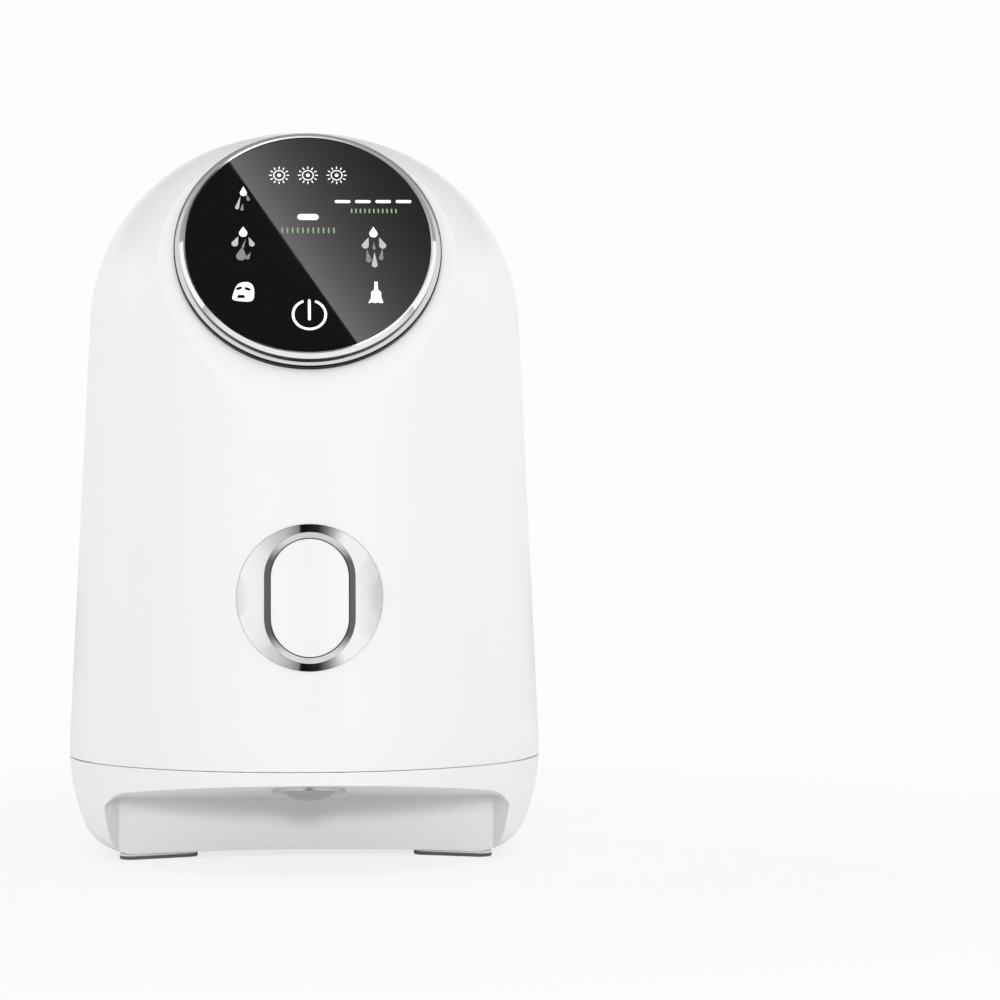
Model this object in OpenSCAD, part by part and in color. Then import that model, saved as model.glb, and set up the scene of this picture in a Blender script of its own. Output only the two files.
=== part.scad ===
// A desk-top facial mask maker: it stirs and warms a cupful of liquid under a rear lid,
// then drips it through a nozzle over the open recess in its base.
// +Z is up, the front faces -Y, and the origin is the centre of the footprint on the table.

/* [Body] */
// Height of the crown above the table
crown_z = 219; // [217:0.5:222]
// Radius of the arc over the crown
crown_r = 76.2; // [74:0.2:80]
// Radius of the arc round the shoulder
shoulder_r = 59; // [57:0.5:61]
// Radius of the body at its widest
belly_r = 71.3; // [70:0.1:73]
// Height of the widest ring
belly_z = 35.5; // [34:0.5:38]
// How far the side wall leans inwards for each millimetre it rises
lean = 0.048; // [0.044:0.001:0.052]
// Radius of the arc under the widest ring
lower_r = 61.3; // [58:0.1:64]
// Radius of the corner at the bottom
corner_r = 12.5; // [11:0.5:14]
// Thickness of the moulded walls
wall = 2.4; // [2:0.1:2.8]
// Height of the feet
foot_h = 1.8; // [1.6:0.1:2.2]
// Height of the seam between the base and the housing
seam_z = 30; // [29:0.5:31]
// Gap left open at a visible seam
seam_gap = 0.4; // [0.3:0.1:0.5]

/* [Control panel] */
// Distance of the glass's centre in front of the body's axis
panel_y = 47; // [46:0.5:48]
// Height of the glass's centre
panel_z = 182.1; // [181:0.1:183]
// Angle of the glass back from upright
panel_tilt = 25.5; // [25:0.5:26]
// Radius of the glass
glass_r = 35.8; // [35:0.1:36]
// Radius of the outer collar round the glass
collar_r = 39.1; // [38.6:0.1:39.6]
// Depth of the flat on the body behind the glass's face
facet_t = 4.3; // [4:0.1:4.6]
// Thickness of the wall behind that flat
facet_wall = 4; // [3.8:0.1:4.6]

/* [Lid] */
// How far in front of the axis the lid's joint line meets the crown
part_y = 21; // [20:0.5:22]
// Angle at which the joint line falls to the rear
part_tilt = 25; // [24:0.5:26]

/* [Front button] */
// Height of the button's centre
button_z = 79.7; // [78:0.1:81]
// Radius of the chrome disc round the button
disc_r = 20.9; // [20.5:0.1:21.5]
// Half the width of the button's ring
ring_w = 13; // [12.8:0.1:13.2]
// Half the height of the button's ring
ring_h = 18.7; // [18.4:0.1:19]
// How far the button travels
button_travel = 1.5; // [1:0.1:1.5]

/* [Cup] */
// Distance of the cup's centre behind the body's axis
cup_y = 17; // [16:0.5:18]
// Inner radius of the cup
cup_r = 25.5; // [24.5:0.5:25.5]
// Height of the cup's floor
cup_floor_z = 116; // [115:0.5:118]
// Height of the cup's rim
cup_rim_z = 168; // [166:0.5:170]
// Inner radius of the chute over the cup
chute_r = 30; // [29.8:0.1:30.2]

/* [Drip nozzle and valve] */
// Distance of the nozzle in front of the body's axis
nozzle_y = 56; // [55:0.5:57]
// Radius of the nozzle's flange
flange_r = 10.6; // [10:0.1:11]
// Radius of the way through the nozzle
nozzle_bore_r = 1.8; // [1.5:0.1:2]
// Distance of the valve's plunger in front of the axis
valve_y = 16; // [16:0.5:17]
// How far the plunger lifts
valve_lift = 4; // [3:0.5:4]

/* [Tray recess] */
// Half the width of the recess at its back corners
recess_w = 55.5; // [54:0.5:56]
// Distance of the recess's back wall in front of the axis
recess_y = 12; // [11:0.5:14]
// Height of the recess's ceiling at the front lip
recess_z = 26.3; // [25.8:0.1:26.6]
// Angle at which the ceiling falls to the rear
recess_slope = 8.8; // [8:0.2:9.6]

/* [Hidden] */
$fn = 96;
far = 400;

// The outline is a chain of arcs and one leaning line, each tangent to the next.
crown_cz = crown_z - crown_r;
lean_a = atan(lean);
shoulder_k = belly_r + lean * belly_z - shoulder_r / cos(lean_a);
quad_a = 1 + lean * lean;
quad_b = -2 * (shoulder_k * lean + crown_cz);
quad_c = pow(shoulder_k, 2) + pow(crown_cz, 2) - pow(crown_r - shoulder_r, 2);
shoulder_cz = (-quad_b + sqrt(quad_b * quad_b - 4 * quad_a * quad_c)) / (2 * quad_a);
shoulder_cr = shoulder_k - lean * shoulder_cz;
crown_a = atan2(shoulder_cz - crown_cz, shoulder_cr);
lower_cr = belly_r - lower_r * cos(lean_a);
lower_cz = belly_z - lower_r * sin(lean_a);
corner_cz = foot_h + corner_r;
corner_cr = lower_cr + sqrt(pow(lower_r - corner_r, 2) - pow(lower_cz - corner_cz, 2));
corner_a = atan2(corner_cz - lower_cz, corner_cr - lower_cr);

// Where the lid's joint line meets the crown, and the recess's ceiling meets the front
part_z = crown_cz + sqrt(crown_r * crown_r - part_y * part_y);
recess_front = belly_r - 0.2;
function ceiling_z(y) = recess_z - tan(recess_slope) * (y + recess_front);

// Room left behind a moving part at the end of its travel
spare = 0.5;

cup_wall = 1.2;
cup_lift = cup_floor_z + 1.5;
shaft_r = 1.5;
motor_r = 15;
motor_bottom = 68;
motor_top = 102;
terminal_x = 8;

spout_y = cup_y - 21;
spout_r = 2.8;
way_r = 1.8;
tube_r = 4;
nozzle_dome_r = 14.5;
valve_z = 44;
valve_top = valve_z + 22;
valve_seat = valve_z + 8;
outlet_z = valve_z + 4;
coil_top = valve_top + 18;
plunger_r = 4;
plunger_top = coil_top - valve_lift - 4;
bend_r = 8;

hinge_y = 64.4;
hinge_z = part_z - tan(part_tilt) * (part_y + 62.4) + 1.2;
hinge_r = 1.5;
knuckle_r = 3.2;
knuckle_x = 13;
lid_ring_y = (cup_y + part_y) / cos(part_tilt);
boss_places = [for (a = [20, 62, 118, 160]) [59.5 * cos(a), 59.5 * sin(a)]];
post_places = [for (a = [45:90:315]) [17.5 * cos(a), 17.5 * sin(a)]];
board_y = -36;
board_z = 64;
board_corners = [for (x = [-34, 34]) for (z = [board_z + 5, board_z + 45]) [x, z]];
power_corners = [for (x = [-30, 30]) for (y = [2, 33]) [x, y]];
plate_top = foot_h + 2;
plate_places = [for (a = [10, 90, 170]) [50.5 * cos(a), 50.5 * sin(a)]];
liner_places = [for (a = [90, 210, 330]) [22 * cos(a), 22 * sin(a)]];
speaker_y = 26;
inlet_w = 22.8;
inlet_h = 14.8;
inlet_z = 48;
pin_x = 4.3;
pin_r = 1.15;

// Depths of the front button's pieces, measured back towards the axis
cap_back = -61;
carrier_floor = -54;
stem_end = -53;
nub_end = stem_end + 3.2;

// The recess's sides flare out in front of flare_y, and its ceiling is ceiling_w across each way
flare_y = -24;
ceiling_w = 61;

// A slice of a disc, from one angle to another
module pie(centre, r, from, to) {
    intersection() {
        translate(centre) circle(r);
        polygon(concat([centre], [for (a = [from, (from + to) / 2, to]) polar(centre, far, a)]));
    }
}

function polar(centre, r, angle) = centre + r * [cos(angle), sin(angle)];

// Half of the body's outline, as far inside the outer skin as inset says.
// Inside the walls a short flat takes the place of the first few degrees of the shoulder's arc.
module outline(inset = 0) {
    crown = [0, crown_cz];
    shoulder = [shoulder_cr, shoulder_cz];
    lower = [lower_cr, lower_cz];
    corner = [corner_cr, corner_cz];
    flat_end = lean_a + (inset > 0 ? 4 : 0);
    pie(crown, crown_r - inset, crown_a, 90);
    pie(shoulder, shoulder_r - inset, flat_end, crown_a);
    pie(lower, lower_r - inset, corner_a, lean_a);
    pie(corner, corner_r - inset, -90, corner_a);
    polygon(concat(
        [[0, foot_h + inset], [corner_cr, foot_h + inset]],
        [polar(corner, corner_r - inset, corner_a), polar(lower, lower_r - inset, lean_a)],
        [polar(shoulder, shoulder_r - inset, lean_a)],
        inset > 0 ? [polar(shoulder, shoulder_r - inset, flat_end)] : [],
        [polar(shoulder, shoulder_r - inset, crown_a), [0, crown_z - inset]]
    ));
}

module body_solid(inset = 0) rotate_extrude($fn = 180) outline(inset);

module above(z) translate([-far / 2, -far / 2, z]) cube(far);
module below(z) translate([-far / 2, -far / 2, z - far]) cube(far);

// Its +Z points out of the glass and its +Y runs up the glass
module panel_frame() translate([0, -panel_y, panel_z]) rotate([90 - panel_tilt, 0, 0]) children();

// Its +Z stands square on the lid's joint plane and its +Y runs back down that plane
module part_frame() translate([0, -part_y, part_z]) rotate([-part_tilt, 0, 0]) children();

// Its +Z points up out of the recess's ceiling at the nozzle
module nozzle_frame() translate([0, -nozzle_y, ceiling_z(-nozzle_y)]) rotate([-recess_slope, 0, 0])
    children();

module at_cup() translate([0, cup_y, 0]) children();
module at_valve() translate([0, -valve_y, 0]) children();
module at_spout() translate([0, spout_y, 0]) children();

// A cylinder between two heights
module post(r, from, to) translate([0, 0, from]) cylinder(r = r, h = to - from);

module ring(inner, outer, from, to) difference() {
    post(outer, from, to);
    post(inner, from - 1, to + 1);
}

// An upright oval, drawn across the front of the body from one depth to another
module oval(w, h, front, back) translate([0, back, button_z]) rotate([90, 0, 0])
    linear_extrude(back - front) {
        square([2 * w, 2 * (h - w)], center = true);
        for (s = [-1, 1]) translate([0, s * (h - w)]) circle(w);
    }

// A cylinder in line with the front button, from one depth to another
module at_button(r, front, back) translate([0, back, button_z]) rotate([90, 0, 0])
    cylinder(r = r, h = back - front);

// A coil spring standing on z = 0
module coil(r, wire, height, turns) {
    steps = turns * 20;
    sides = 6;
    pts = [for (i = [0:steps]) for (k = [0:sides - 1])
        let (a = 360 * i / 20, b = 360 * k / sides, rr = r + wire * cos(b))
        [rr * cos(a), rr * sin(a), wire + (height - 2 * wire) * i / steps + wire * sin(b)]];
    skin = [for (i = [0:steps - 1]) for (k = [0:sides - 1])
        let (n = (k + 1) % sides)
        [i * sides + k, (i + 1) * sides + k, (i + 1) * sides + n, i * sides + n]];
    ends = [[for (k = [0:sides - 1]) k], [for (k = [sides - 1:-1:0]) steps * sides + k]];
    polyhedron(points = pts, faces = concat(ends, skin), convexity = 6);
}

// The hollow under the tray recess's sloping ceiling, grown outwards by a wall's thickness
module recess(grow = 0) {
    flare = 20;
    back_r = 130;
    soft = 8 + grow;
    side = ceiling_w + grow - soft;
    w = recess_w + grow;
    y = -recess_y + grow;
    reach = 70;
    intersection() {
        translate([0, 0, -1]) linear_extrude(60) intersection() {
            translate([0, y - back_r]) circle(back_r, $fn = 360);
            polygon([
                [-w, flare_y], [-w + 14, y + 2], [w - 14, y + 2], [w, flare_y],
                [w + tan(flare) * reach, flare_y - reach], [-w - tan(flare) * reach, flare_y - reach]
            ]);
        }
        translate([0, -recess_front, recess_z + grow]) rotate([-recess_slope, 0, 0]) {
            translate([-far / 2, -far / 2, -60 - soft]) cube([far, far, 60]);
            translate([-side, -far / 2, -soft - 1]) cube([2 * side, far, soft + 1]);
            for (s = [-1, 1]) translate([s * side, far / 2, -soft]) rotate([90, 0, 0])
                cylinder(r = soft, h = far);
        }
    }
}

module housing_form(inset) intersection() {
    body_solid(inset);
    panel_frame() below(-facet_t - inset * facet_wall / wall);
    part_frame() below(-inset);
}

module along_hinge(r, from, to) translate([from, hinge_y, hinge_z]) rotate([0, 90, 0])
    cylinder(r = r, h = to - from);

module hinge_barrel(from, to) difference() {
    along_hinge(knuckle_r, from, to);
    along_hinge(hinge_r, from - 1, to + 1);
}

module main_housing() color("white") {
    difference() {
        union() {
            difference() {
                housing_form(0);
                housing_form(wall);
                below(seam_z + seam_gap / 2);
                post(belly_r - wall - 0.2, seam_z - 3, seam_z + 6);
            }
            for (p = boss_places) translate([p[0], p[1], 0]) post(4, seam_z + seam_gap / 2, 50);
            for (p = boss_places) intersection() {
                body_solid(wall / 2);
                rotate([0, 0, atan2(p[1], p[0])]) translate([60, -1.2, seam_z + 6]) cube([12, 2.4, 14]);
            }
            for (s = [-1, 1]) hinge_barrel(s * knuckle_x - 4, s * knuckle_x + 4);
            for (p = board_corners) intersection() {
                body_solid(wall / 2);
                translate([p[0], board_y, p[1]]) rotate([90, 0, 0]) cylinder(r = 3, h = 60);
            }
        }
        panel_frame() post(glass_r + 1.1, -20, 0);
        at_cup() post(chute_r + 1.9, 150, crown_z + 1);
        oval(ring_w + 0.2, ring_h + 0.2, -belly_r - 5, -50);
        difference() {
            at_button(disc_r + 0.1, -80, -50);
            body_solid(1.4);
        }
        for (p = boss_places) translate([p[0], p[1], 0]) post(1.3, seam_z - 1, 46);
        translate([-inlet_w / 2 - 0.2, 50, inlet_z - inlet_h / 2 - 0.2])
            cube([inlet_w + 0.4, 30, inlet_h + 0.4]);
        translate([-9.2, hinge_y - knuckle_r - 0.4, hinge_z - knuckle_r - 0.4]) cube([18.4, 20, 20]);
        along_hinge(hinge_r, -20, 20);
        for (p = board_corners) translate([p[0], board_y + 1, p[1]]) rotate([90, 0, 0])
            cylinder(r = 1.1, h = 11);
    }
}

module base_shell() color("white") difference() {
    union() {
        intersection() {
            difference() {
                body_solid();
                difference() {
                    union() {
                        body_solid(wall);
                        post(corner_cr - 2.6, foot_h - 1, foot_h + wall + 1);
                    }
                    recess(wall);
                }
            }
            below(seam_z - seam_gap / 2);
        }
        intersection() {
            body_solid(wall / 2);
            difference() {
                ring(48.5, corner_cr, plate_top, plate_top + 2.2);
                recess(wall / 2);
            }
        }
        difference() {
            union() {
                ring(belly_r - wall - 2.6, belly_r - wall - 0.4, 26, seam_z + 3);
                ring(belly_r - wall - 2.6, belly_r - wall / 2, 26, seam_z - 1);
            }
            translate([-far / 2, -far, 0]) cube([far, far - 30, far]);
            for (p = boss_places) translate([p[0], p[1], 0]) post(4.3, seam_z - seam_gap, 50);
        }
        for (p = boss_places) translate([p[0], p[1], 0]) post(4, foot_h + wall, seam_z - seam_gap / 2);
        for (x = [-6, 6]) for (y = [-19, -13.6]) translate([x, y, 0]) post(2.6, recess_z - 10, valve_z);
    }
    recess();
    nozzle_frame() post(8.2, -5, 12);
    for (p = boss_places) translate([p[0], p[1], 0]) {
        post(1.9, -1, seam_z + 1);
        post(3, -1, foot_h + wall);
    }
    for (p = plate_places) translate([p[0], p[1], 0]) post(1, 0, 20);
}

module base_plate() color("gainsboro") difference() {
    union() {
        difference() {
            post(corner_cr - 2.8, foot_h, plate_top);
            recess(wall + 0.2);
        }
        for (p = power_corners) translate([p[0], p[1], 0]) post(3, plate_top, foot_h + 7);
    }
    for (p = plate_places) translate([p[0], p[1], 0]) {
        post(1.3, -1, 10);
        post(2.2, -1, plate_top - 1);
    }
    for (p = power_corners) translate([p[0], p[1], 0]) post(1.1, foot_h + 3, 20);
    for (i = [-2:2]) translate([i * 2.6 - 0.6, speaker_y - 5, 0]) cube([1.2, 10, 20]);
}

module foot_pads() color("dimgray") {
    for (s = [-1, 1]) translate([s * 42.5, -14.6, 0]) rotate([0, 0, -s * 22]) {
        translate([-7.5, -3.6, 0]) cube([15, 7.2, foot_h]);
        for (e = [-1, 1]) translate([e * 7.5, 0, 0]) cylinder(r = 3.6, h = foot_h);
    }
    for (s = [-1, 1]) translate([s * 30, 37, 0]) cylinder(r = 8, h = foot_h);
}

module lid() color("white") difference() {
    union() {
        difference() {
            body_solid();
            body_solid(wall);
            part_frame() below(seam_gap);
        }
        for (p = liner_places) intersection() {
            body_solid(wall / 2);
            part_frame() translate([p[0], lid_ring_y + p[1], 0]) post(3, 2.2, 60);
        }
        translate([-7.4, 60.2, hinge_z + 0.2]) cube([14.8, hinge_y - 60.2, 3]);
        hinge_barrel(-7.6, 7.6);
    }
    along_hinge(hinge_r + 0.05, -20, 20);
    for (s = [-1, 1]) along_hinge(knuckle_r + 0.35, s * knuckle_x - 4.8, s * knuckle_x + 4.8);
    for (p = liner_places) part_frame() translate([p[0], lid_ring_y + p[1], 0]) post(1, -1, 9);
}

module lid_liner() color("lightgray") part_frame() translate([0, lid_ring_y, 0]) difference() {
    post(33.5, 0.6, 2.2);
    for (p = liner_places) translate([p[0], p[1], 0]) post(1.2, -1, 4);
}

module lid_gasket() color("gray") part_frame() translate([0, lid_ring_y, 0]) ring(33.5, 35.6, 0.3, 1.9);

module hinge_pin() color("silver") along_hinge(hinge_r, -knuckle_x - 4, knuckle_x + 4);

module panel_tray() color("silver") panel_frame() rotate_extrude() polygon([
    [32.5, -7.5], [glass_r + 1, -7.5], [glass_r + 1, -facet_t], [collar_r, -facet_t],
    [collar_r, -2.8], [collar_r - 0.4, -2.3], [collar_r - 1.3, -2.1], [34.6, -2.1],
    [34.6, -5.4], [32.5, -5.4]
]);

module panel_bezel() color("silver") panel_frame() rotate_extrude() polygon([
    [glass_r + 0.05, -2.1], [glass_r + 1.6, -2.1], [glass_r + 1.6, -0.8],
    [glass_r + 0.5, 0.3], [glass_r + 0.05, 0.3]
]);

module panel_glass() color("black") panel_frame() post(glass_r, -2.1, 0);

// Places of the lit signs on the panel: across, up
sun_row = [for (i = [-1:1]) [8.45 * i, 23]];
bar_row = [for (i = [0:3]) [10.15 + 5.97 * i, 14.3]];
side_signs = [for (s = [-1, 1]) for (y = [-0.5, -16.1]) [s * 19, y]];
other_signs = [[0, 8.9], [-19, 17], [0, -23.4]];
sign_places = concat(sun_row, bar_row, side_signs, other_signs);

module light_mask() color("black") panel_frame() difference() {
    post(34.4, -3.9, -2.1);
    for (p = sign_places) translate([p[0], p[1], 0]) post(2, -10, 0);
}

module key_lights() color("ivory") panel_frame() for (p = sign_places)
    translate([p[0] - 1, p[1] - 1, -3.9]) cube([2, 2, 0.8]);

module touch_board() color("darkgreen") panel_frame() post(34.4, -5.4, -3.9);

// The flat cable's route in the YZ plane, from the touch board down to the main board
ribbon_line = [[-47.6, 168.2], [-44.5, 160], [-44.5, 132], [-38, 120], [-38, board_z + 47]];
ribbon_t = 0.6;

module panel_ribbon() color("lightgray") translate([-7, 0, 0]) rotate([90, 0, 90]) linear_extrude(14)
    polygon(concat(ribbon_line, [for (i = [len(ribbon_line) - 1:-1:0]) ribbon_line[i] + [ribbon_t, 0]]));

module chest_disc() color("silver") difference() {
    intersection() {
        at_button(disc_r, -80, -50);
        body_solid(-0.4);
    }
    body_solid(1.4);
    oval(ring_w + 0.05, ring_h + 0.05, -90, -50);
}

module button_ring() color("gray") difference() {
    intersection() {
        oval(ring_w, ring_h, -90, -58);
        body_solid(-0.9);
    }
    body_solid(wall + 1);
    oval(ring_w - 1.6, ring_h - 1.6, -90, -50);
}

module button_cap() color("white") {
    intersection() {
        oval(ring_w - 1.9, ring_h - 1.9, -90, cap_back);
        body_solid(-0.6);
    }
    at_button(2.9, cap_back - 1, stem_end);
}

module button_carrier() color("gainsboro") difference() {
    intersection() {
        oval(ring_w + 3, ring_h + 3, -90, carrier_floor + 2);
        body_solid(wall);
    }
    oval(ring_w - 1.6, ring_h - 1.6, -90, carrier_floor);
    intersection() {
        oval(ring_w + 0.05, ring_h + 0.05, -90, -58);
        difference() {
            body_solid();
            body_solid(wall + 1);
        }
    }
    at_button(3.2, -60, -50);
}

module button_spring() color("silver") translate([0, cap_back, button_z]) rotate([-90, 0, 0])
    coil(4.6, 0.4, carrier_floor - cap_back - button_travel - spare, 4);

module switch_nub() color("black") at_button(1.7, stem_end, nub_end);

module button_switch() color("darkgreen") difference() {
    union() {
        translate([-5, -50.6, button_z - 5]) cube([10, 4, 10]);
        translate([-14, -46.6, button_z - 14]) cube([28, 1.6, 28]);
        for (s = [-1, 1]) translate([s * 11, 0, s * 11]) at_button(2, carrier_floor + 2, -46.6);
    }
    at_button(1.75, -60, nub_end + button_travel + spare);
}

module cup_chute() color("white") at_cup() difference() {
    post(chute_r + 1.8, cup_rim_z - 2, crown_z);
    post(chute_r, cup_rim_z, crown_z + 1);
    post(cup_r + 1.8, cup_rim_z - 5, crown_z);
    translate([0, -cup_y, 0]) part_frame() above(0);
}

module cup_gasket() color("lightgray") at_cup() ring(cup_r + 2, chute_r - 0.1, cup_rim_z, cup_rim_z + 1);

module mixing_cup() color("silver") difference() {
    union() {
        at_cup() {
            post(cup_r + cup_wall, cup_floor_z, cup_rim_z + 2);
            post(chute_r - 0.3, cup_rim_z + 1, cup_rim_z + 2.2);
            post(8, cup_floor_z - 2, cup_floor_z + 1);
            for (p = post_places) translate([p[0], p[1], 0]) post(pin_r, cup_floor_z - 8, cup_floor_z + 1);
        }
        at_spout() post(spout_r, cup_floor_z - 12, cup_floor_z + 1);
    }
    at_cup() {
        post(cup_r, cup_lift, crown_z);
        post(5, cup_floor_z - 5, crown_z);
    }
    at_spout() post(way_r, cup_floor_z - 20, crown_z);
}

module heater_band() color("peru") at_cup() ring(cup_r + cup_wall + 0.05, cup_r + cup_wall + 1.8, 122, 148);

module cup_insulation() color("beige") at_cup()
    ring(cup_r + cup_wall + 1.9, cup_r + cup_wall + 4.6, 120, 150);

module thermistor() color("black") at_cup() translate([-17, 8, 0]) {
    post(2.6, cup_floor_z - 4, cup_floor_z);
    post(1.2, cup_floor_z - 8, cup_floor_z - 4);
}

module thermal_fuse() color("tan") at_cup() translate([18, -5, cup_floor_z - 2.2]) rotate([-90, 0, 0])
    cylinder(r = 2.2, h = 11);

module shaft_seal() color("gray") at_cup() difference() {
    union() {
        post(5, cup_floor_z - 2, cup_lift);
        post(6.4, cup_lift, cup_lift + 1.5);
    }
    post(shaft_r + 0.05, cup_floor_z - 5, cup_lift + 3);
}

module stirrer() color("white") at_cup() difference() {
    union() {
        post(4.5, cup_lift + 2, cup_lift + 14);
        for (a = [0, 180]) rotate([0, 0, a]) translate([3, 0, cup_lift + 7]) rotate([35, 0, 0])
            translate([0, -0.8, -4]) cube([15, 1.6, 8]);
    }
    post(shaft_r, cup_lift, cup_lift + 11);
}

module motor_rotor() color("gray") at_cup() {
    post(shaft_r, motor_bottom - 3, cup_lift + 11);
    difference() {
        post(10, motor_bottom + 8, motor_top - 6);
        post(shaft_r, 0, 200);
        for (a = [0:72:288]) rotate([0, 0, a]) translate([6, -0.8, 0]) cube([8, 1.6, 150]);
    }
    ring(shaft_r, 3.4, motor_bottom + 2.6, motor_bottom + 8);
}

module motor_can() color("silver") at_cup() difference() {
    union() {
        post(motor_r, motor_bottom, motor_top);
        post(3.5, motor_top, motor_top + 2);
    }
    post(motor_r - 1, motor_bottom - 1, motor_top - 1);
    post(shaft_r + 0.05, 0, 200);
    for (s = [-1, 1]) translate([s * terminal_x, 0, 0]) post(1.2, motor_top - 2, motor_top + 1);
}

module motor_magnets() color("dimgray") at_cup() for (a = [0, 180]) rotate([0, 0, a]) intersection() {
    ring(10.5, motor_r - 1.05, motor_bottom + 8, motor_top - 6);
    translate([0, -8, 0]) cube([40, 16, 150]);
}

module motor_end_cap() color("black") at_cup() {
    ring(shaft_r + 0.05, motor_r - 1.05, motor_bottom, motor_bottom + 2);
    for (s = [-1, 1]) translate([s * terminal_x - 0.4, -2, motor_bottom - 5]) cube([0.8, 4, 5]);
}

module motor_bracket() color("lightgray") difference() {
    at_cup() {
        post(21, motor_top, motor_top + 2);
        for (p = post_places) translate([p[0], p[1], 0]) post(3, motor_top + 2, cup_floor_z);
    }
    at_cup() {
        post(3.55, 0, 200);
        for (p = post_places) translate([p[0], p[1], 0]) post(pin_r + 0.05, motor_top - 1, cup_floor_z + 1);
        for (s = [-1, 1]) translate([s * terminal_x, 0, 0]) post(1.2, 90, 120);
    }
    at_spout() post(tube_r + 1, 90, 120);
}

module valve_body() color("ivory") difference() {
    union() {
        translate([-9, -valve_y - 8, valve_z]) cube([18, valve_y + 8, valve_top - valve_z]);
        at_spout() post(spout_r, valve_top, valve_top + 7);
        translate([0, -valve_y, outlet_z]) rotate([90, 0, 0]) cylinder(r = spout_r, h = 15);
    }
    at_spout() post(way_r, valve_seat + 2, 200);
    translate([0, -valve_y, valve_seat + 2 + way_r]) rotate([-90, 0, 0])
        cylinder(r = way_r, h = valve_y + spout_y);
    translate([0, -valve_y, outlet_z]) rotate([90, 0, 0]) cylinder(r = way_r, h = 20);
    at_valve() {
        post(way_r, outlet_z, 90);
        post(plunger_r + 0.05, valve_seat, 120);
    }
}

module valve_sleeve() color("goldenrod") at_valve() difference() {
    post(plunger_r + 0.65, valve_top, coil_top + 2);
    post(plunger_r + 0.05, valve_z, coil_top);
}

module valve_coil() color("chocolate") at_valve() ring(plunger_r + 0.7, 7, valve_top + 0.5, coil_top - 0.5);

module valve_plunger() color("silver") at_valve() {
    post(plunger_r, valve_seat + 2.4, plunger_top);
    post(3.2, valve_seat + 0.05, valve_seat + 2.4);
}

module valve_spring() color("silver") at_valve() translate([0, 0, plunger_top])
    coil(3, 0.35, coil_top - plunger_top, 5);

module inlet_tube() color("whitesmoke") at_spout() ring(spout_r, tube_r, valve_top, cup_floor_z - 2.5);

module outlet_tube() color("whitesmoke") translate([0, -nozzle_y, 0]) {
    ring(spout_r, tube_r, ceiling_z(-nozzle_y) + 3.6, outlet_z - bend_r);
    translate([0, bend_r, outlet_z - bend_r]) rotate([90, 0, -90]) rotate_extrude(angle = 90)
        translate([bend_r, 0]) difference() {
            circle(tube_r);
            circle(spout_r);
        }
    translate([0, bend_r, outlet_z]) rotate([-90, 0, 0])
        ring(spout_r, tube_r, 0, nozzle_y - bend_r - valve_y - 8);
}

module nozzle() color("silver") difference() {
    union() {
        nozzle_frame() rotate_extrude() intersection() {
            translate([0, nozzle_dome_r - 3.4]) circle(nozzle_dome_r, $fn = 240);
            translate([0, -4]) square([8, 7]);
        }
        translate([0, -nozzle_y, 0]) post(spout_r, ceiling_z(-nozzle_y) + 1, ceiling_z(-nozzle_y) + 10);
    }
    translate([0, -nozzle_y, 0]) post(nozzle_bore_r, 10, 60);
}

module nozzle_flange() color("silver") nozzle_frame() ring(8.1, flange_r, -1, 0);

module main_board() color("darkgreen") difference() {
    translate([-38, board_y, board_z]) cube([76, 1.6, 50]);
    for (p = board_corners) translate([p[0], board_y - 5, p[1]]) rotate([-90, 0, 0])
        cylinder(r = 1.6, h = 10);
}

module board_parts() color("black") {
    translate([-6, board_y + 1.6, board_z + 26]) cube([12, 1.4, 12]);
    translate([18, board_y + 1.6, board_z + 8]) cube([14, 6, 12]);
    translate([-30, board_y + 1.6, board_z + 12]) cube([10, 4, 8]);
    translate([-8, board_y - 3.4, board_z + 43]) cube([16, 3.4, 4]);
    for (i = [0:2]) translate([-28 + 9 * i, board_y + 1.6, board_z + 38]) rotate([-90, 0, 0])
        cylinder(r = 3, h = 8);
}

module power_board() color("darkgreen") difference() {
    translate([-34, -2, foot_h + 7]) cube([68, 39, 1.6]);
    for (p = power_corners) translate([p[0], p[1], 0]) post(1.6, 5, 20);
}

module power_parts() color("goldenrod") {
    base = foot_h + 8.6;
    translate([-14, 8, base]) cube([22, 20, 18]);
    for (y = [10, 23]) translate([-24, y, base]) cylinder(r = 5.5, h = 16);
    translate([14, 10, base]) cube([16, 12, 10]);
    translate([12, 26, base]) cube([14, 8, 12]);
}

module speaker() color("dimgray") translate([0, speaker_y, plate_top]) difference() {
    cylinder(r = 8.6, h = 4);
    translate([0, 0, -1]) cylinder(r = 7, h = 2);
}

module power_inlet() color("black") difference() {
    union() {
        intersection() {
            translate([-inlet_w / 2, 52, inlet_z - inlet_h / 2]) cube([inlet_w, 30, inlet_h]);
            body_solid(-1);
        }
        intersection() {
            translate([-13.5, 50, inlet_z - 9.4]) cube([27, 30, 18.8]);
            difference() {
                body_solid(-1);
                body_solid();
            }
        }
    }
    translate([0, 57, inlet_z]) rotate([-90, 0, 0]) {
        for (s = [-1, 1]) translate([s * pin_x, 0, 0]) cylinder(r = 4.5, h = 30);
        translate([-pin_x, -4.5, 0]) cube([2 * pin_x, 9, 30]);
    }
    for (s = [-1, 1]) translate([s * pin_x, 45, inlet_z]) rotate([-90, 0, 0]) cylinder(r = pin_r, h = 30);
}

module inlet_pins() color("goldenrod") for (s = [-1, 1]) translate([s * pin_x, 49, inlet_z])
    rotate([-90, 0, 0]) cylinder(r = pin_r, h = 17);

module screw_up(shank, head, length) {
    post(shank, 0, length);
    difference() {
        post(head, -1.2, 0);
        translate([-0.3, -5, -2.2]) cube([0.6, 10, 1.6]);
    }
}

module housing_screws() color("silver") for (p = boss_places) translate([p[0], p[1], foot_h + wall])
    screw_up(1.25, 2.8, 38);

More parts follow.
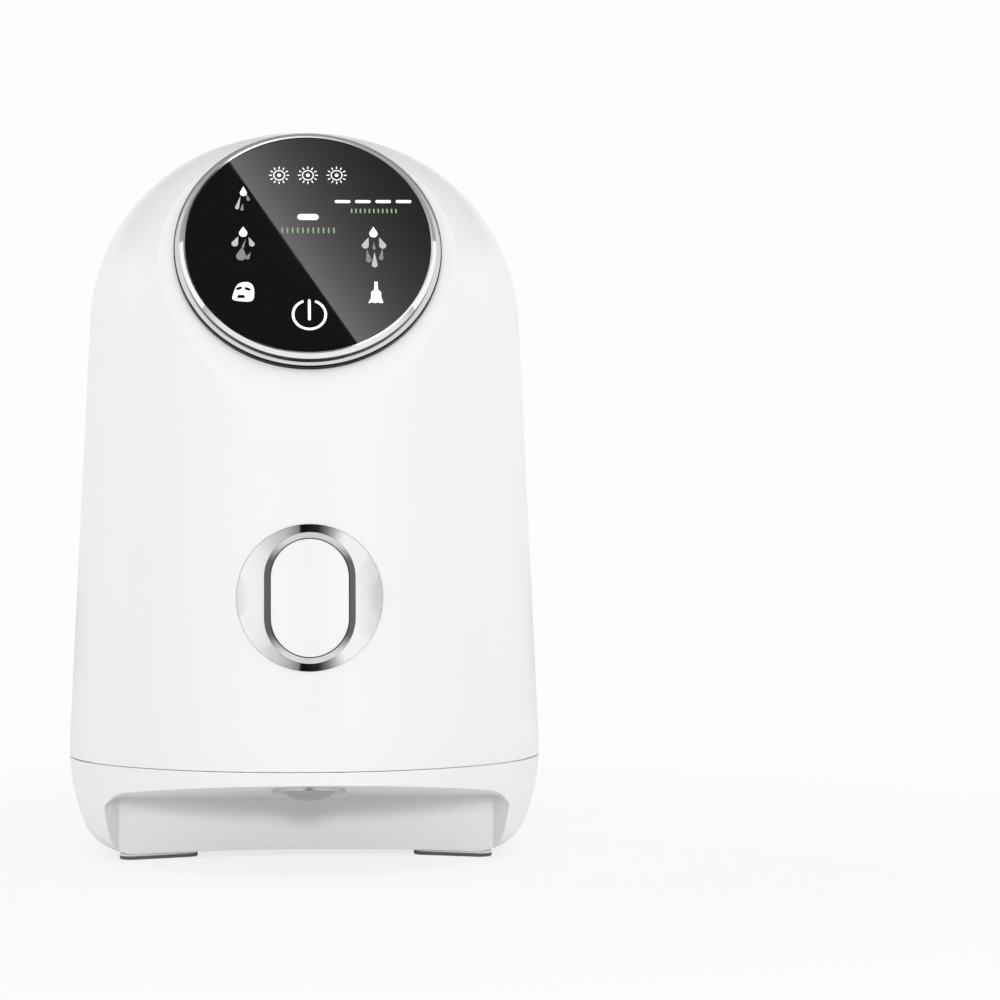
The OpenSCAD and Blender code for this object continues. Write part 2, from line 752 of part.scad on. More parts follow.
module bracket_screws() color("silver") at_cup() {
    for (p = post_places) translate([p[0], p[1], motor_top]) screw_up(pin_r, 2.4, 5);
    for (s = [-1, 1]) translate([s * terminal_x, 0, motor_top + 2]) mirror([0, 0, 1])
        screw_up(pin_r, 2, 2.9);
}

module plate_screws() color("silver") for (p = plate_places) translate([p[0], p[1], plate_top - 1])
    screw_up(0.95, 2, 3);

module liner_screws() color("silver") part_frame() for (p = liner_places)
    translate([p[0], lid_ring_y + p[1], 0.6]) screw_up(0.95, 1.8, 6);

module board_screws() color("silver") {
    for (p = power_corners) translate([p[0], p[1], foot_h + 8.6]) mirror([0, 0, 1]) screw_up(1.05, 2.4, 5);
    for (p = board_corners) translate([p[0], board_y + 1.6, p[1]]) rotate([90, 0, 0])
        screw_up(1.05, 2.4, 8);
}

main_housing();
base_shell();
base_plate();
foot_pads();
lid();
lid_liner();
lid_gasket();
hinge_pin();
panel_tray();
panel_bezel();
panel_glass();
light_mask();
key_lights();
touch_board();
panel_ribbon();
chest_disc();
button_ring();
button_cap();
button_carrier();
button_spring();
switch_nub();
button_switch();
cup_chute();
cup_gasket();
mixing_cup();
heater_band();
cup_insulation();
thermistor();
thermal_fuse();
shaft_seal();
stirrer();
motor_rotor();
motor_can();
motor_magnets();
motor_end_cap();
motor_bracket();
valve_body();
valve_sleeve();
valve_coil();
valve_plunger();
valve_spring();
inlet_tube();
outlet_tube();
nozzle();
nozzle_flange();
main_board();
board_parts();
power_board();
power_parts();
speaker();
power_inlet();
inlet_pins();
housing_screws();
plate_screws();
liner_screws();
bracket_screws();
board_screws();
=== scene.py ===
import math
import bmesh
import bpy
from bpy.props import FloatProperty, FloatVectorProperty, IntProperty, PointerProperty
from mathutils import Matrix, Vector
from mathutils.bvhtree import BVHTree


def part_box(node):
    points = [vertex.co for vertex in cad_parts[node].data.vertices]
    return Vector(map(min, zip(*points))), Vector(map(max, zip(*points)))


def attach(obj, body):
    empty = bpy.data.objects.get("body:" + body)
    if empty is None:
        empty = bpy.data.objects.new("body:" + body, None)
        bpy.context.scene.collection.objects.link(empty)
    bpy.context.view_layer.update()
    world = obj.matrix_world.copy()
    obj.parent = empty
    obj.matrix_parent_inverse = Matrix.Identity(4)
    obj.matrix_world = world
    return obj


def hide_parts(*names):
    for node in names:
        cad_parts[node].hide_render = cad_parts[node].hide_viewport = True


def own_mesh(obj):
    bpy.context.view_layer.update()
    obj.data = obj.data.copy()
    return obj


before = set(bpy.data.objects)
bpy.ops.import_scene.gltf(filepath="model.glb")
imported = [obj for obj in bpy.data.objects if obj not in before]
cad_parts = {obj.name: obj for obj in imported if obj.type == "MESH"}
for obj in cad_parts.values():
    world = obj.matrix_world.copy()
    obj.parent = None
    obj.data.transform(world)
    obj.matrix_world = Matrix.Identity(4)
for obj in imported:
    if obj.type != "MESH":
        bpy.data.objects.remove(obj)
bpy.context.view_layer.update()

bl_info = {
    "name": "Facial mask maker",
    "version": (1, 0, 0),
    "blender": (4, 5, 0),
    "location": "3D View > Sidebar > Mask maker",
    "description": "Finishes the pieces of a desk-top facial mask maker and sets up its studio",
    "category": "Object",
}

MM = 0.001
PICTURE = 1000
SENSOR = 36
ORIGIN = (0, 0, 0)
ACROSS = (1, 0, 0)
UP = (0, 0, 1)

# Points in the photograph, at 1000 by 1000: the object's edges, then the middles of features
EDGE_POINTS = {"left": 69, "right": 539, "top": 133, "bottom": 858}
FEATURE_POINTS = {
    "sun_first": (279.1, 175.3),
    "sun_last": (336.6, 175.3),
    "step_first": (342.6, 201.6),
    "step_last": (403.5, 201.6),
    "lamp": (308, 217),
    "drop": (243, 200),
    "drops_left": (243.5, 244),
    "drops_right": (373.7, 247),
    "mask": (243.5, 291.7),
    "brush": (376, 292.5),
    "power": (309.4, 314.6),
    "chest_disc": (310, 597.8),
    "nozzle": (309, 791),
}


class StudioSettings(bpy.types.PropertyGroup):
    camera_place: FloatVectorProperty(
        name="Camera place", description="Where the camera stands", subtype="TRANSLATION",
        unit="LENGTH", default=(-0.019, -0.99982, 0.112))
    camera_aim: FloatVectorProperty(
        name="Camera aim", description="What the camera points at", subtype="TRANSLATION",
        unit="LENGTH", default=(0.0597, 0.0, 0.10718))
    lens: FloatProperty(
        name="Lens", description="Focal length in millimetres", default=117.57)
    ambient: FloatProperty(
        name="Ambient", description="Strength of the light from all round", default=0.52)
    front: FloatProperty(
        name="Front lamp", description="Power of the lamp that lights the recess", unit="POWER",
        default=10.0)
    side: FloatProperty(
        name="Side lamps", description="Power of each lamp beside and behind the object", unit="POWER",
        default=4.2)
    top: FloatProperty(
        name="Top lamp", description="Power of the broad lamp overhead", unit="POWER", default=5.0)
    backdrop: FloatProperty(
        name="Backdrop", description="Whiteness of the background", subtype="FACTOR", default=0.983)
    shadow: FloatProperty(
        name="Shadow", description="Share of the floor's own shading that shows", subtype="FACTOR",
        default=0.22)


class ShellSettings(bpy.types.PropertyGroup):
    colour: FloatVectorProperty(
        name="Colour", description="Colour of the white mouldings", subtype="COLOR",
        default=(0.90, 0.905, 0.90))
    roughness: FloatProperty(
        name="Roughness", description="How satin the mouldings are", subtype="FACTOR", default=0.31)
    crease: FloatProperty(
        name="Crease", description="Angle past which an edge stays sharp", subtype="ANGLE",
        default=math.radians(28))


class PanelSettings(bpy.types.PropertyGroup):
    ink: FloatProperty(
        name="Ink", description="Thickness of the printed signs", unit="LENGTH", default=0.05 * MM)
    lit: FloatVectorProperty(
        name="Lit colour", description="Colour of the lit signs", subtype="COLOR",
        default=(0.9, 0.92, 0.92))
    half_lit: FloatVectorProperty(
        name="Half-lit colour", description="Colour of the half-lit signs", subtype="COLOR",
        default=(0.48, 0.50, 0.50))
    faint: FloatVectorProperty(
        name="Faint colour", description="Colour of the signs that barely show", subtype="COLOR",
        default=(0.22, 0.23, 0.23))
    green: FloatVectorProperty(
        name="Green", description="Colour of the tick rows", subtype="COLOR",
        default=(0.30, 0.42, 0.22))
    sun_rays: IntProperty(name="Sun rays", description="Rays on each sun", default=12)
    ticks: IntProperty(name="Ticks", description="Ticks in each green row", default=11)
    sheen: FloatProperty(
        name="Sheen", description="Brightness of the card that the glass mirrors", default=3.3)
    sheen_reach: FloatProperty(
        name="Sheen reach", description="Distance over which the mirrored card fades", unit="LENGTH",
        default=16.8 * MM)
    sheen_top: FloatVectorProperty(
        name="Sheen top", description="Upper end of the sheen's edge on the glass", size=2,
        unit="LENGTH", default=(-22.5 * MM, 27.4 * MM))
    sheen_bottom: FloatVectorProperty(
        name="Sheen bottom", description="Lower end of the sheen's edge on the glass", size=2,
        unit="LENGTH", default=(14.25 * MM, -33.0 * MM))


SETTINGS = {"studio": StudioSettings, "shell": ShellSettings, "panel": PanelSettings}


def settings(name):
    """One of the groups of sizes and colours."""
    return getattr(bpy.context.scene, "mask_maker_" + name)


# Materials

def network(material):
    """The nodes and the links of a material or a world."""
    return material.node_tree.nodes, material.node_tree.links


def filled(node, **values):
    """Sets a node's inputs, which are named with _ for a space."""
    for name, value in values.items():
        node.inputs[name.replace("_", " ")].default_value = value
    return node


def principled(name, colour, roughness, **sockets):
    """A material with one Principled BSDF; extra keywords set its sockets."""
    material = bpy.data.materials.new(name)
    material.use_nodes = True
    shader = material.node_tree.nodes["Principled BSDF"]
    filled(shader, Base_Color=(*colour[:3], 1), Roughness=roughness, **sockets)
    return material


def noise(material, scale, detail=3.0, stretch=(1, 1, 1)):
    """A noise on Object coordinates, in cycles per metre."""
    nodes, links = network(material)
    where = nodes.new("ShaderNodeTexCoord")
    mapping = filled(nodes.new("ShaderNodeMapping"), Scale=stretch)
    texture = filled(nodes.new("ShaderNodeTexNoise"), Scale=scale, Detail=detail)
    links.new(where.outputs["Object"], mapping.inputs["Vector"])
    links.new(mapping.outputs["Vector"], texture.inputs["Vector"])
    return texture.outputs["Fac"]


def spread(material, value, socket, low, high):
    """Maps a noise's middle range to low..high on one of the shader's sockets."""
    nodes, links = network(material)
    span = filled(nodes.new("ShaderNodeMapRange"), From_Min=0.3, From_Max=0.7, To_Min=low, To_Max=high)
    links.new(value, span.inputs["Value"])
    links.new(span.outputs["Result"], nodes["Principled BSDF"].inputs[socket])


def tint(material, value, dark, light):
    """Runs the base colour from dark to light along a noise or a wave."""
    nodes, links = network(material)
    ramp = nodes.new("ShaderNodeValToRGB")
    ramp.color_ramp.elements[0].position = 0.3
    ramp.color_ramp.elements[0].color = (*dark, 1)
    ramp.color_ramp.elements[1].position = 0.7
    ramp.color_ramp.elements[1].color = (*light, 1)
    links.new(value, ramp.inputs["Fac"])
    links.new(ramp.outputs["Color"], nodes["Principled BSDF"].inputs["Base Color"])


def bump(material, value, depth):
    """A relief of a noise or a wave, as deep as given."""
    nodes, links = network(material)
    relief = filled(nodes.new("ShaderNodeBump"), Strength=1.0, Distance=depth)
    links.new(value, relief.inputs["Height"])
    links.new(relief.outputs["Normal"], nodes["Principled BSDF"].inputs["Normal"])


def shade(colour, factor):
    """A colour made darker or lighter."""
    return tuple(min(1.0, c * factor) for c in colour[:3])


def plastic(name, colour, roughness, grain=900, depth=0.004 * MM, coat=0.0):
    """Moulded plastic: a fine skin texture, a slow drift of tone and an uneven sheen."""
    material = principled(name, colour, roughness, Coat_Weight=coat, Coat_Roughness=0.12)
    tint(material, noise(material, 14), shade(colour, 0.998), shade(colour, 1.002))
    spread(material, noise(material, 40, 2), "Roughness", roughness * 0.97, roughness * 1.03)
    bump(material, noise(material, grain, 4), depth)
    return material


# The painted light in the joint between base and housing: half the height of the band that glows, how much
# its glow grows for each metre towards the front, and where it starts
SEAM_HALF = 0.205 * MM
SEAM_GLOW = 6.5
SEAM_START = -20 * MM


def shell_with_painted_seam_light(name, colour, roughness, seam):
    """The white moulding with painted light in its joint: the band round the seam glows, more strongly
    towards the front, so that the gap reads grey there rather than dark.
    """
    material = plastic(name, colour, roughness, grain=240, depth=0.001 * MM, coat=0.15)
    nodes, links = network(material)
    height = along(nodes, links, UP, (0, 0, seam))
    size = calculate(nodes, links, "ABSOLUTE", height)
    inside = calculate(nodes, links, "LESS_THAN", size, SEAM_HALF)
    front = along(nodes, links, (0, -SEAM_GLOW, 0), (0, SEAM_START, 0))
    lit = calculate(nodes, links, "MAXIMUM", front, 0)
    glow = calculate(nodes, links, "MULTIPLY", lit, inside)
    # Painted light: the band round the seam glows, so the dark gap reads grey in front
    shader = filled(nodes["Principled BSDF"], Emission_Color=(1, 1, 1, 1))
    links.new(glow, shader.inputs["Emission Strength"])
    return material


# The painted shade on the recess's back wall, a grey close under its ceiling: its lower edge's height in
# the middle and how that edge bows up towards the sides, its fade, its tone, half its width, and how
# sharply it ends there
PAINTED_SHADE_HEIGHT = 11.8 * MM
PAINTED_SHADE_BOW = 0.8
PAINTED_SHADE_FADE = 1.2 * MM
PAINTED_SHADE_TONE = 0.935
PAINTED_SHADE_HALF_WIDTH = 60 * MM
PAINTED_SHADE_STEEP = 20

# It lies between these planes: one in front, one behind, and the recess's ceiling, each as a
# direction as long as PAINTED_SHADE_STEEP and a point on the plane
PAINTED_SHADE_LIMITS = [
    ((0, PAINTED_SHADE_STEEP, 0), (0, -30 * MM, 0)),
    ((0, -PAINTED_SHADE_STEEP, 0), ORIGIN),
    ((0, -3.06, -19.77), (0, -71.1 * MM, 26.15 * MM)),
]


def base_moulding(name, colour, roughness, seam):
    """The white moulding with painted shade: a soft grey on the recess's back wall, close under its
    ceiling.
    """
    material = shell_with_painted_seam_light(name, colour, roughness, seam)
    nodes, links = network(material)
    across = along(nodes, links, ACROSS, ORIGIN)
    squared = calculate(nodes, links, "MULTIPLY", across, across)
    bow = calculate(nodes, links, "MULTIPLY", squared, PAINTED_SHADE_BOW)
    height = along(nodes, links, UP, (0, 0, PAINTED_SHADE_HEIGHT))
    shaded = calculate(nodes, links, "SUBTRACT", height, bow)
    from_middle = calculate(nodes, links, "ABSOLUTE", across)
    inward = calculate(nodes, links, "SUBTRACT", PAINTED_SHADE_HALF_WIDTH, from_middle)
    steep = calculate(nodes, links, "MULTIPLY", inward, PAINTED_SHADE_STEEP)
    shaded = calculate(nodes, links, "MINIMUM", shaded, steep)
    for direction, origin in PAINTED_SHADE_LIMITS:
        limit = along(nodes, links, direction, origin)
        shaded = calculate(nodes, links, "MINIMUM", shaded, limit)
    # Painted shade: the back wall is greyed under the recess's ceiling
    two_tone(material, shaded, -PAINTED_SHADE_FADE, PAINTED_SHADE_FADE, colour, shade(colour, PAINTED_SHADE_TONE))
    return material


VECTORS = "ShaderNodeVectorMath"


def calculate(nodes, links, operation, first, second=None, kind="ShaderNodeMath"):
    """One Math or Vector Math node: its inputs are sockets, numbers or vectors."""
    node = nodes.new(kind)
    node.operation = operation
    for socket, value in zip(node.inputs, (first, second)):
        if isinstance(value, bpy.types.NodeSocket):
            links.new(value, socket)
        elif value is not None:
            socket.default_value = value
    return node.outputs["Value" if operation in ("DOT_PRODUCT", "LENGTH") else 0]


# Half the length over which one tone gives way to another where they meet at an edge
SHARP = 0.05 * MM


def two_tone(material, value, start, end, first, second):
    """Runs the base colour from first to second as a length goes from start to end."""
    nodes, links = network(material)
    span = filled(nodes.new("ShaderNodeMapRange"), From_Min=start, From_Max=end)
    span.interpolation_type = "SMOOTHSTEP"
    mix = nodes.new("ShaderNodeMix")
    mix.data_type = "RGBA"
    low, high = [s for s in mix.inputs if s.type == "RGBA"]
    low.default_value = (*first, 1)
    high.default_value = (*second, 1)
    links.new(value, span.inputs["Value"])
    links.new(span.outputs["Result"], mix.inputs[0])
    colour = next(s for s in mix.outputs if s.type == "RGBA")
    links.new(colour, nodes["Principled BSDF"].inputs["Base Color"])


def along(nodes, links, direction, origin):
    """How far a point lies from the origin along a direction, on Object coordinates."""
    where = nodes.new("ShaderNodeTexCoord").outputs["Object"]
    way = calculate(nodes, links, "SUBTRACT", where, origin, VECTORS)
    return calculate(nodes, links, "DOT_PRODUCT", way, direction, VECTORS)


def trim_with_painted_dark_reflection(name, colour, roughness, level):
    """Plated trim on the panel with a painted dark reflection: its side walls, below a level under the
    glass, are black.
    """
    material = metal(name, colour, roughness, depth=0.0)
    middle, _, _, outward = glass_axes()
    below = along(*network(material), -outward, middle)
    # Painted reflection: the side walls are black, as if they mirrored something dark
    two_tone(material, below, level - SHARP, level + SHARP, colour, (0.012, 0.012, 0.013))
    return material


def band_with_painted_reflection(name, dark, light, roughness):
    """The button's band with a painted reflection on top of its own gloss: dark down its sides, light round
    its ends.
    """
    material = metal(name, dark, roughness, metallic=0.3)
    low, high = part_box("button_ring")
    nodes, links = network(material)
    up = along(nodes, links, UP, (low + high) / 2)
    from_middle = calculate(nodes, links, "ABSOLUTE", up)
    # Painted reflection: dark down the sides, light round the ends
    two_tone(material, from_middle, 10 * MM, 17 * MM, dark, light)
    return material


def metal(name, colour, roughness, stretch=(1, 1, 1), depth=0.002 * MM, metallic=1.0):
    """Bare or plated metal: polishing marks in its sheen and in its surface."""
    material = principled(name, colour, roughness, Metallic=metallic)
    spread(material, noise(material, 90, 4, stretch), "Roughness", roughness * 0.75, roughness * 1.3)
    tint(material, noise(material, 30), shade(colour, 0.97), shade(colour, 1.02))
    bump(material, noise(material, 700, 2, stretch), depth)
    return material


def foot_rubber(name, colour, boss, top):
    """Rubber up to a height, and the white boss that holds it above."""
    material = principled(name, colour, 0.6, Sheen_Weight=0.1)
    bump(material, noise(material, 2400, 5), 0.02 * MM)
    nodes, links = network(material)
    up = along(nodes, links, UP, ORIGIN)
    two_tone(material, up, top - SHARP, top + SHARP, colour, boss)
    return material


def black_glass():
    """Tempered glass, printed black behind, with a trace of wiping marks."""
    material = principled("black_glass", (0.0078, 0.0078, 0.008), 0.01, IOR=1.52)
    spread(material, noise(material, 45, 5, (1, 3, 1)), "Roughness", 0.008, 0.02)
    return material


def circuit_green():
    """Solder mask over copper: a cellular pattern of lighter tracks."""
    material = principled("circuit_green", (0.02, 0.12, 0.05), 0.35)
    nodes, links = network(material)
    where = nodes.new("ShaderNodeTexCoord")
    tracks = filled(nodes.new("ShaderNodeTexBrick"), Scale=180, Color1=(0.02, 0.12, 0.05, 1),
                    Color2=(0.025, 0.15, 0.06, 1), Mortar=(0.05, 0.24, 0.10, 1), Mortar_Size=0.03)
    links.new(where.outputs["Object"], tracks.inputs["Vector"])
    links.new(tracks.outputs["Color"], nodes["Principled BSDF"].inputs["Base Color"])
    bump(material, noise(material, 500), 0.01 * MM)
    return material


def felt():
    """Pressed wool round the cup."""
    material = principled("felt", (0.78, 0.74, 0.64), 0.95, Sheen_Weight=0.4)
    tint(material, noise(material, 700, 6), (0.66, 0.62, 0.52), (0.84, 0.80, 0.70))
    bump(material, noise(material, 1600, 6), 0.12 * MM)
    return material


def winding(name, colour):
    """Wire wound round an upright axis: fine level ridges."""
    material = principled(name, colour, 0.3, Metallic=0.8)
    nodes, links = network(material)
    where = nodes.new("ShaderNodeTexCoord")
    wire = filled(nodes.new("ShaderNodeTexWave"), Scale=500, Distortion=0.4)
    wire.bands_direction = "Z"
    links.new(where.outputs["Object"], wire.inputs["Vector"])
    tint(material, wire.outputs["Fac"], shade(colour, 0.6), shade(colour, 1.2))
    bump(material, wire.outputs["Fac"], 0.1 * MM)
    return material


def lit_ink(name, colour, strength):
    """A sign that glows evenly through the print, with a slightly mottled diffuser."""
    material = principled(name, colour, 0.4, Emission_Strength=strength, Emission_Color=(*colour, 1))
    tint(material, noise(material, 600), shade(colour, 0.94), shade(colour, 1.03))
    return material


MATERIALS = {}


def make_materials():
    shell = settings("shell")
    panel = settings("panel")
    white = tuple(shell.colour)
    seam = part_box("main_housing")[0].z - 0.2 * MM
    MATERIALS.update({
        "moulding": shell_with_painted_seam_light("white_moulding", white, shell.roughness, seam),
        "base": base_moulding("base_moulding", white, shell.roughness, seam),
        "cap": plastic("button_cap_moulding", shade(white, 1.02), 0.2, coat=0.3),
        "inner": plastic("inner_moulding", (0.76, 0.76, 0.75), 0.5, 600, 0.01 * MM),
        "liner": plastic("liner_moulding", (0.72, 0.73, 0.73), 0.45, 600, 0.01 * MM),
        "dark": plastic("black_moulding", (0.025, 0.025, 0.027), 0.42, 900, 0.01 * MM),
        "ivory": plastic("ivory_moulding", (0.80, 0.77, 0.68), 0.4),
        "ribbon": plastic("ribbon_film", (0.74, 0.74, 0.70), 0.35),
        "amber": plastic("amber_tape", (0.60, 0.36, 0.07), 0.3),
        "tan": plastic("ceramic_tan", (0.55, 0.43, 0.30), 0.6),
        "tray": trim_with_painted_dark_reflection("tray_plate", (0.70, 0.70, 0.71), 0.16, level=2.4 * MM),
        "bezel": trim_with_painted_dark_reflection("bezel_plate", (0.95, 0.95, 0.96), 0.06, level=0.85 * MM),
        "chrome": metal("chrome_plate", (0.80, 0.80, 0.81), 0.05, depth=0.0),
        "ring": band_with_painted_reflection("ring_plate", (0.10, 0.10, 0.105), (0.80, 0.80, 0.81), 0.2),
        "nozzle": metal("nozzle_steel", (0.60, 0.60, 0.61), 0.24),
        "tinned": metal("tinned_lead", (0.74, 0.74, 0.73), 0.35),
        "etched": metal("etched_mark", (0.12, 0.12, 0.125), 0.6),
        "cone": plastic("paper_cone", (0.05, 0.05, 0.052), 0.8, 1500, 0.02 * MM),
        "steel": metal("turned_steel", (0.62, 0.62, 0.63), 0.3, (1, 1, 12)),
        "cup": metal("drawn_steel", (0.66, 0.66, 0.67), 0.22, (1, 1, 10)),
        "iron": metal("pressed_iron", (0.20, 0.20, 0.21), 0.5),
        "brass": metal("drawn_brass", (0.66, 0.47, 0.18), 0.25, (1, 1, 8)),
        "copper": winding("copper_winding", (0.62, 0.26, 0.10)),
        "foil": plastic("heater_film", (0.66, 0.33, 0.09), 0.25),
        "pad": foot_rubber("pad_rubber", (0.13, 0.13, 0.135), white, top=1.1 * MM),
        "silicone": plastic("milky_silicone", (0.72, 0.72, 0.70), 0.5, 800, 0.008 * MM),
        "glass": black_glass(),
        "board": circuit_green(),
        "felt": felt(),
        "lit": lit_ink("lit_sign", tuple(panel.lit), 0.55),
        "half_lit": lit_ink("half_lit_sign", tuple(panel.half_lit), 0.15),
        "faint": lit_ink("faint_sign", tuple(panel.faint), 0.1),
        "green": lit_ink("green_ticks", tuple(panel.green), 0.15),
        "diffuser": lit_ink("key_diffuser", (0.9, 0.92, 0.95), 0.4),
    })


# Shapes

def new_tree(name, inputs):
    """A Geometry Nodes tree with named inputs, each with its kind of socket."""
    tree = bpy.data.node_groups.new(name, "GeometryNodeTree")
    for socket, kind in inputs.items():
        tree.interface.new_socket(socket, in_out="INPUT", socket_type="NodeSocket" + kind)
    tree.interface.new_socket("Geometry", in_out="OUTPUT", socket_type="NodeSocketGeometry")
    return tree, tree.nodes.new("NodeGroupInput"), tree.nodes.new("NodeGroupOutput")


def skin_tree():
    """Joins a CAD node's loose triangles, smooths its faces and keeps its real edges sharp."""
    tree, start, end = new_tree("moulded_skin", {
        "Geometry": "Geometry", "Merge distance": "Float", "Crease angle": "Float"})
    nodes, links = tree.nodes, tree.links
    merge = nodes.new("GeometryNodeMergeByDistance")
    smooth = nodes.new("GeometryNodeSetShadeSmooth")
    angle = nodes.new("GeometryNodeInputMeshEdgeAngle")
    sharp = nodes.new("FunctionNodeCompare")
    hard = filled(nodes.new("GeometryNodeSetShadeSmooth"), Shade_Smooth=False)
    hard.domain = "EDGE"
    links.new(start.outputs["Geometry"], merge.inputs["Geometry"])
    links.new(start.outputs["Merge distance"], merge.inputs["Distance"])
    links.new(merge.outputs["Geometry"], smooth.inputs["Geometry"])
    links.new(smooth.outputs["Geometry"], hard.inputs["Geometry"])
    links.new(angle.outputs["Unsigned Angle"], sharp.inputs["A"])
    links.new(start.outputs["Crease angle"], sharp.inputs["B"])
    links.new(sharp.outputs["Result"], hard.inputs["Selection"])
    links.new(hard.outputs["Geometry"], end.inputs["Geometry"])
    return tree


def socket_named(tree, name):
    """The identifier of a tree's named input."""
    return next(s.identifier for s in tree.interface.items_tree
                if s.name == name and s.in_out == "INPUT")


def dress(node, material):
    """A CAD node's finish: its material, and smooth shading between its real edges."""
    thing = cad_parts[node]
    thing.data.materials.clear()
    thing.data.materials.append(MATERIALS[material])
    tree = bpy.data.node_groups.get("moulded_skin") or skin_tree()
    skin = thing.modifiers.new("moulded_skin", "NODES")
    skin.node_group = tree
    skin[socket_named(tree, "Merge distance")] = 0.0005 * MM
    skin[socket_named(tree, "Crease angle")] = settings("shell").crease
    even = thing.modifiers.new("even_normals", "WEIGHTED_NORMAL")
    even.weight = 100
    even.keep_sharp = True


def placed(name, data):
    """A new object in the scene."""
    thing = bpy.data.objects.new(name, data)
    bpy.context.scene.collection.objects.link(thing)
    return thing


def piece(name, mesh, material, body):
    """A finished piece: an object at the origin that rides on a body."""
    thing = placed(name, mesh)
    mesh.materials.clear()
    mesh.materials.append(MATERIALS[material])
    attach(thing, body)
    return thing


def made_plain(holder):
    """The plain mesh that an object comes to, which then goes."""
    graph = bpy.context.evaluated_depsgraph_get()
    mesh = bpy.data.meshes.new_from_object(holder.evaluated_get(graph))
    holder.modifiers.clear()
    bpy.data.objects.remove(holder)
    return mesh


def flat_shape(loops, thickness, soft=0.0):
    """A plate with holes and, where soft is given, rounded edges: loops are outlines in millimetres."""
    curve = bpy.data.curves.new("outline", "CURVE")
    curve.dimensions = "2D"
    curve.fill_mode = "BOTH"
    curve.extrude = thickness / 2 - soft
    curve.bevel_depth = soft
    curve.bevel_resolution = 3
    curve.offset = -soft
    for loop in loops:
        spline = curve.splines.new("POLY")
        spline.points.add(len(loop) - 1)
        for point, (x, y) in zip(spline.points, loop):
            point.co = (x * MM, y * MM, 0, 1)
        spline.use_cyclic_u = True
    mesh = made_plain(placed("outline", curve))
    bpy.data.curves.remove(curve)
    return mesh


def grown(tree, mesh, values):
    """What a tree makes of a mesh; the values go to its named inputs."""
    holder = placed(tree.name, mesh)
    maker = holder.modifiers.new(tree.name, "NODES")
    maker.node_group = tree
    for name, value in values.items():
        maker[socket_named(tree, name)] = value
    return made_plain(holder)


def end_tree(tree, start, end, shape):
    """Ends a tree: its copies are made real and given their finish."""
    real = tree.nodes.new("GeometryNodeRealizeInstances")
    finish = tree.nodes.new("GeometryNodeSetMaterial")
    tree.links.new(shape, real.inputs[0])
    tree.links.new(real.outputs[0], finish.inputs["Geometry"])
    tree.links.new(start.outputs["Finish"], finish.inputs["Material"])
    tree.links.new(finish.outputs[0], end.inputs["Geometry"])
    return tree


def repeat_tree():
    """Copies its input by the count, each a step and a turn on from the last."""
    tree, start, end = new_tree("repeat", {
        "Geometry": "Geometry", "Count": "Int", "Step": "Vector", "Turn": "Vector", "Finish": "Material"})
    nodes, links = tree.nodes, tree.links
    places = nodes.new("GeometryNodePoints")
    number = nodes.new("GeometryNodeInputIndex").outputs[0]
    far = calculate(nodes, links, "MULTIPLY", number, start.outputs["Step"], VECTORS)
    round_by = calculate(nodes, links, "MULTIPLY", number, start.outputs["Turn"], VECTORS)
    copies = nodes.new("GeometryNodeInstanceOnPoints")
    links.new(start.outputs["Count"], places.inputs["Count"])
    links.new(far, places.inputs["Position"])
    links.new(places.outputs[0], copies.inputs["Points"])
    links.new(start.outputs["Geometry"], copies.inputs["Instance"])
    links.new(round_by, copies.inputs["Rotation"])
    return end_tree(tree, start, end, copies.outputs[0])


def repeated(mesh, material, count, step=ORIGIN, turn=0.0):
    """A row or a ring of copies of a mesh: step in millimetres, turn about Z in degrees."""
    return grown(bpy.data.node_groups.get("repeat") or repeat_tree(), mesh, {
        "Count": count,
        "Step": tuple(d * MM for d in step),
        "Turn": (0, 0, math.radians(turn)),
        "Finish": MATERIALS[material],
    })


def coil_tree():
    """A round wire wound on a spiral, as long as its height says."""
    tree, start, end = new_tree("coil", {
        "Radius": "Float", "Wire": "Float", "Height": "Float", "Turns": "Float", "Finish": "Material"})
    nodes, links = tree.nodes, tree.links
    spiral = filled(nodes.new("GeometryNodeCurveSpiral"), Resolution=32)
    section = filled(nodes.new("GeometryNodeCurvePrimitiveCircle"), Resolution=12)
    sweep = filled(nodes.new("GeometryNodeCurveToMesh"), Fill_Caps=True)
    links.new(start.outputs["Turns"], spiral.inputs["Rotations"])
    links.new(start.outputs["Radius"], spiral.inputs["Start Radius"])
    links.new(start.outputs["Radius"], spiral.inputs["End Radius"])
    links.new(start.outputs["Height"], spiral.inputs["Height"])
    links.new(start.outputs["Wire"], section.inputs["Radius"])
    links.new(spiral.outputs[0], sweep.inputs["Curve"])
    links.new(section.outputs[0], sweep.inputs["Profile Curve"])
    return end_tree(tree, start, end, sweep.outputs[0])


def coiled(radius, wire, height, turns, material):
    """A coil spring standing on the origin, its sizes in millimetres."""
    mesh = grown(bpy.data.node_groups.get("coil") or coil_tree(), bpy.data.meshes.new("coil"), {
        "Radius": radius * MM,
        "Wire": wire * MM,
        "Height": (height - 2 * wire) * MM,
        "Turns": float(turns),
        "Finish": MATERIALS[material],
    })
    mesh.transform(Matrix.Translation((0, 0, wire * MM)))
    return mesh


def joined(*meshes):
    """One mesh of several, in one material."""
    form = bmesh.new()
    for mesh in meshes:
        form.from_mesh(mesh)
    for face in form.faces:
        face.material_index = 0
    result = bpy.data.meshes.new("joined")
    form.to_mesh(result)
    form.free()
    return result


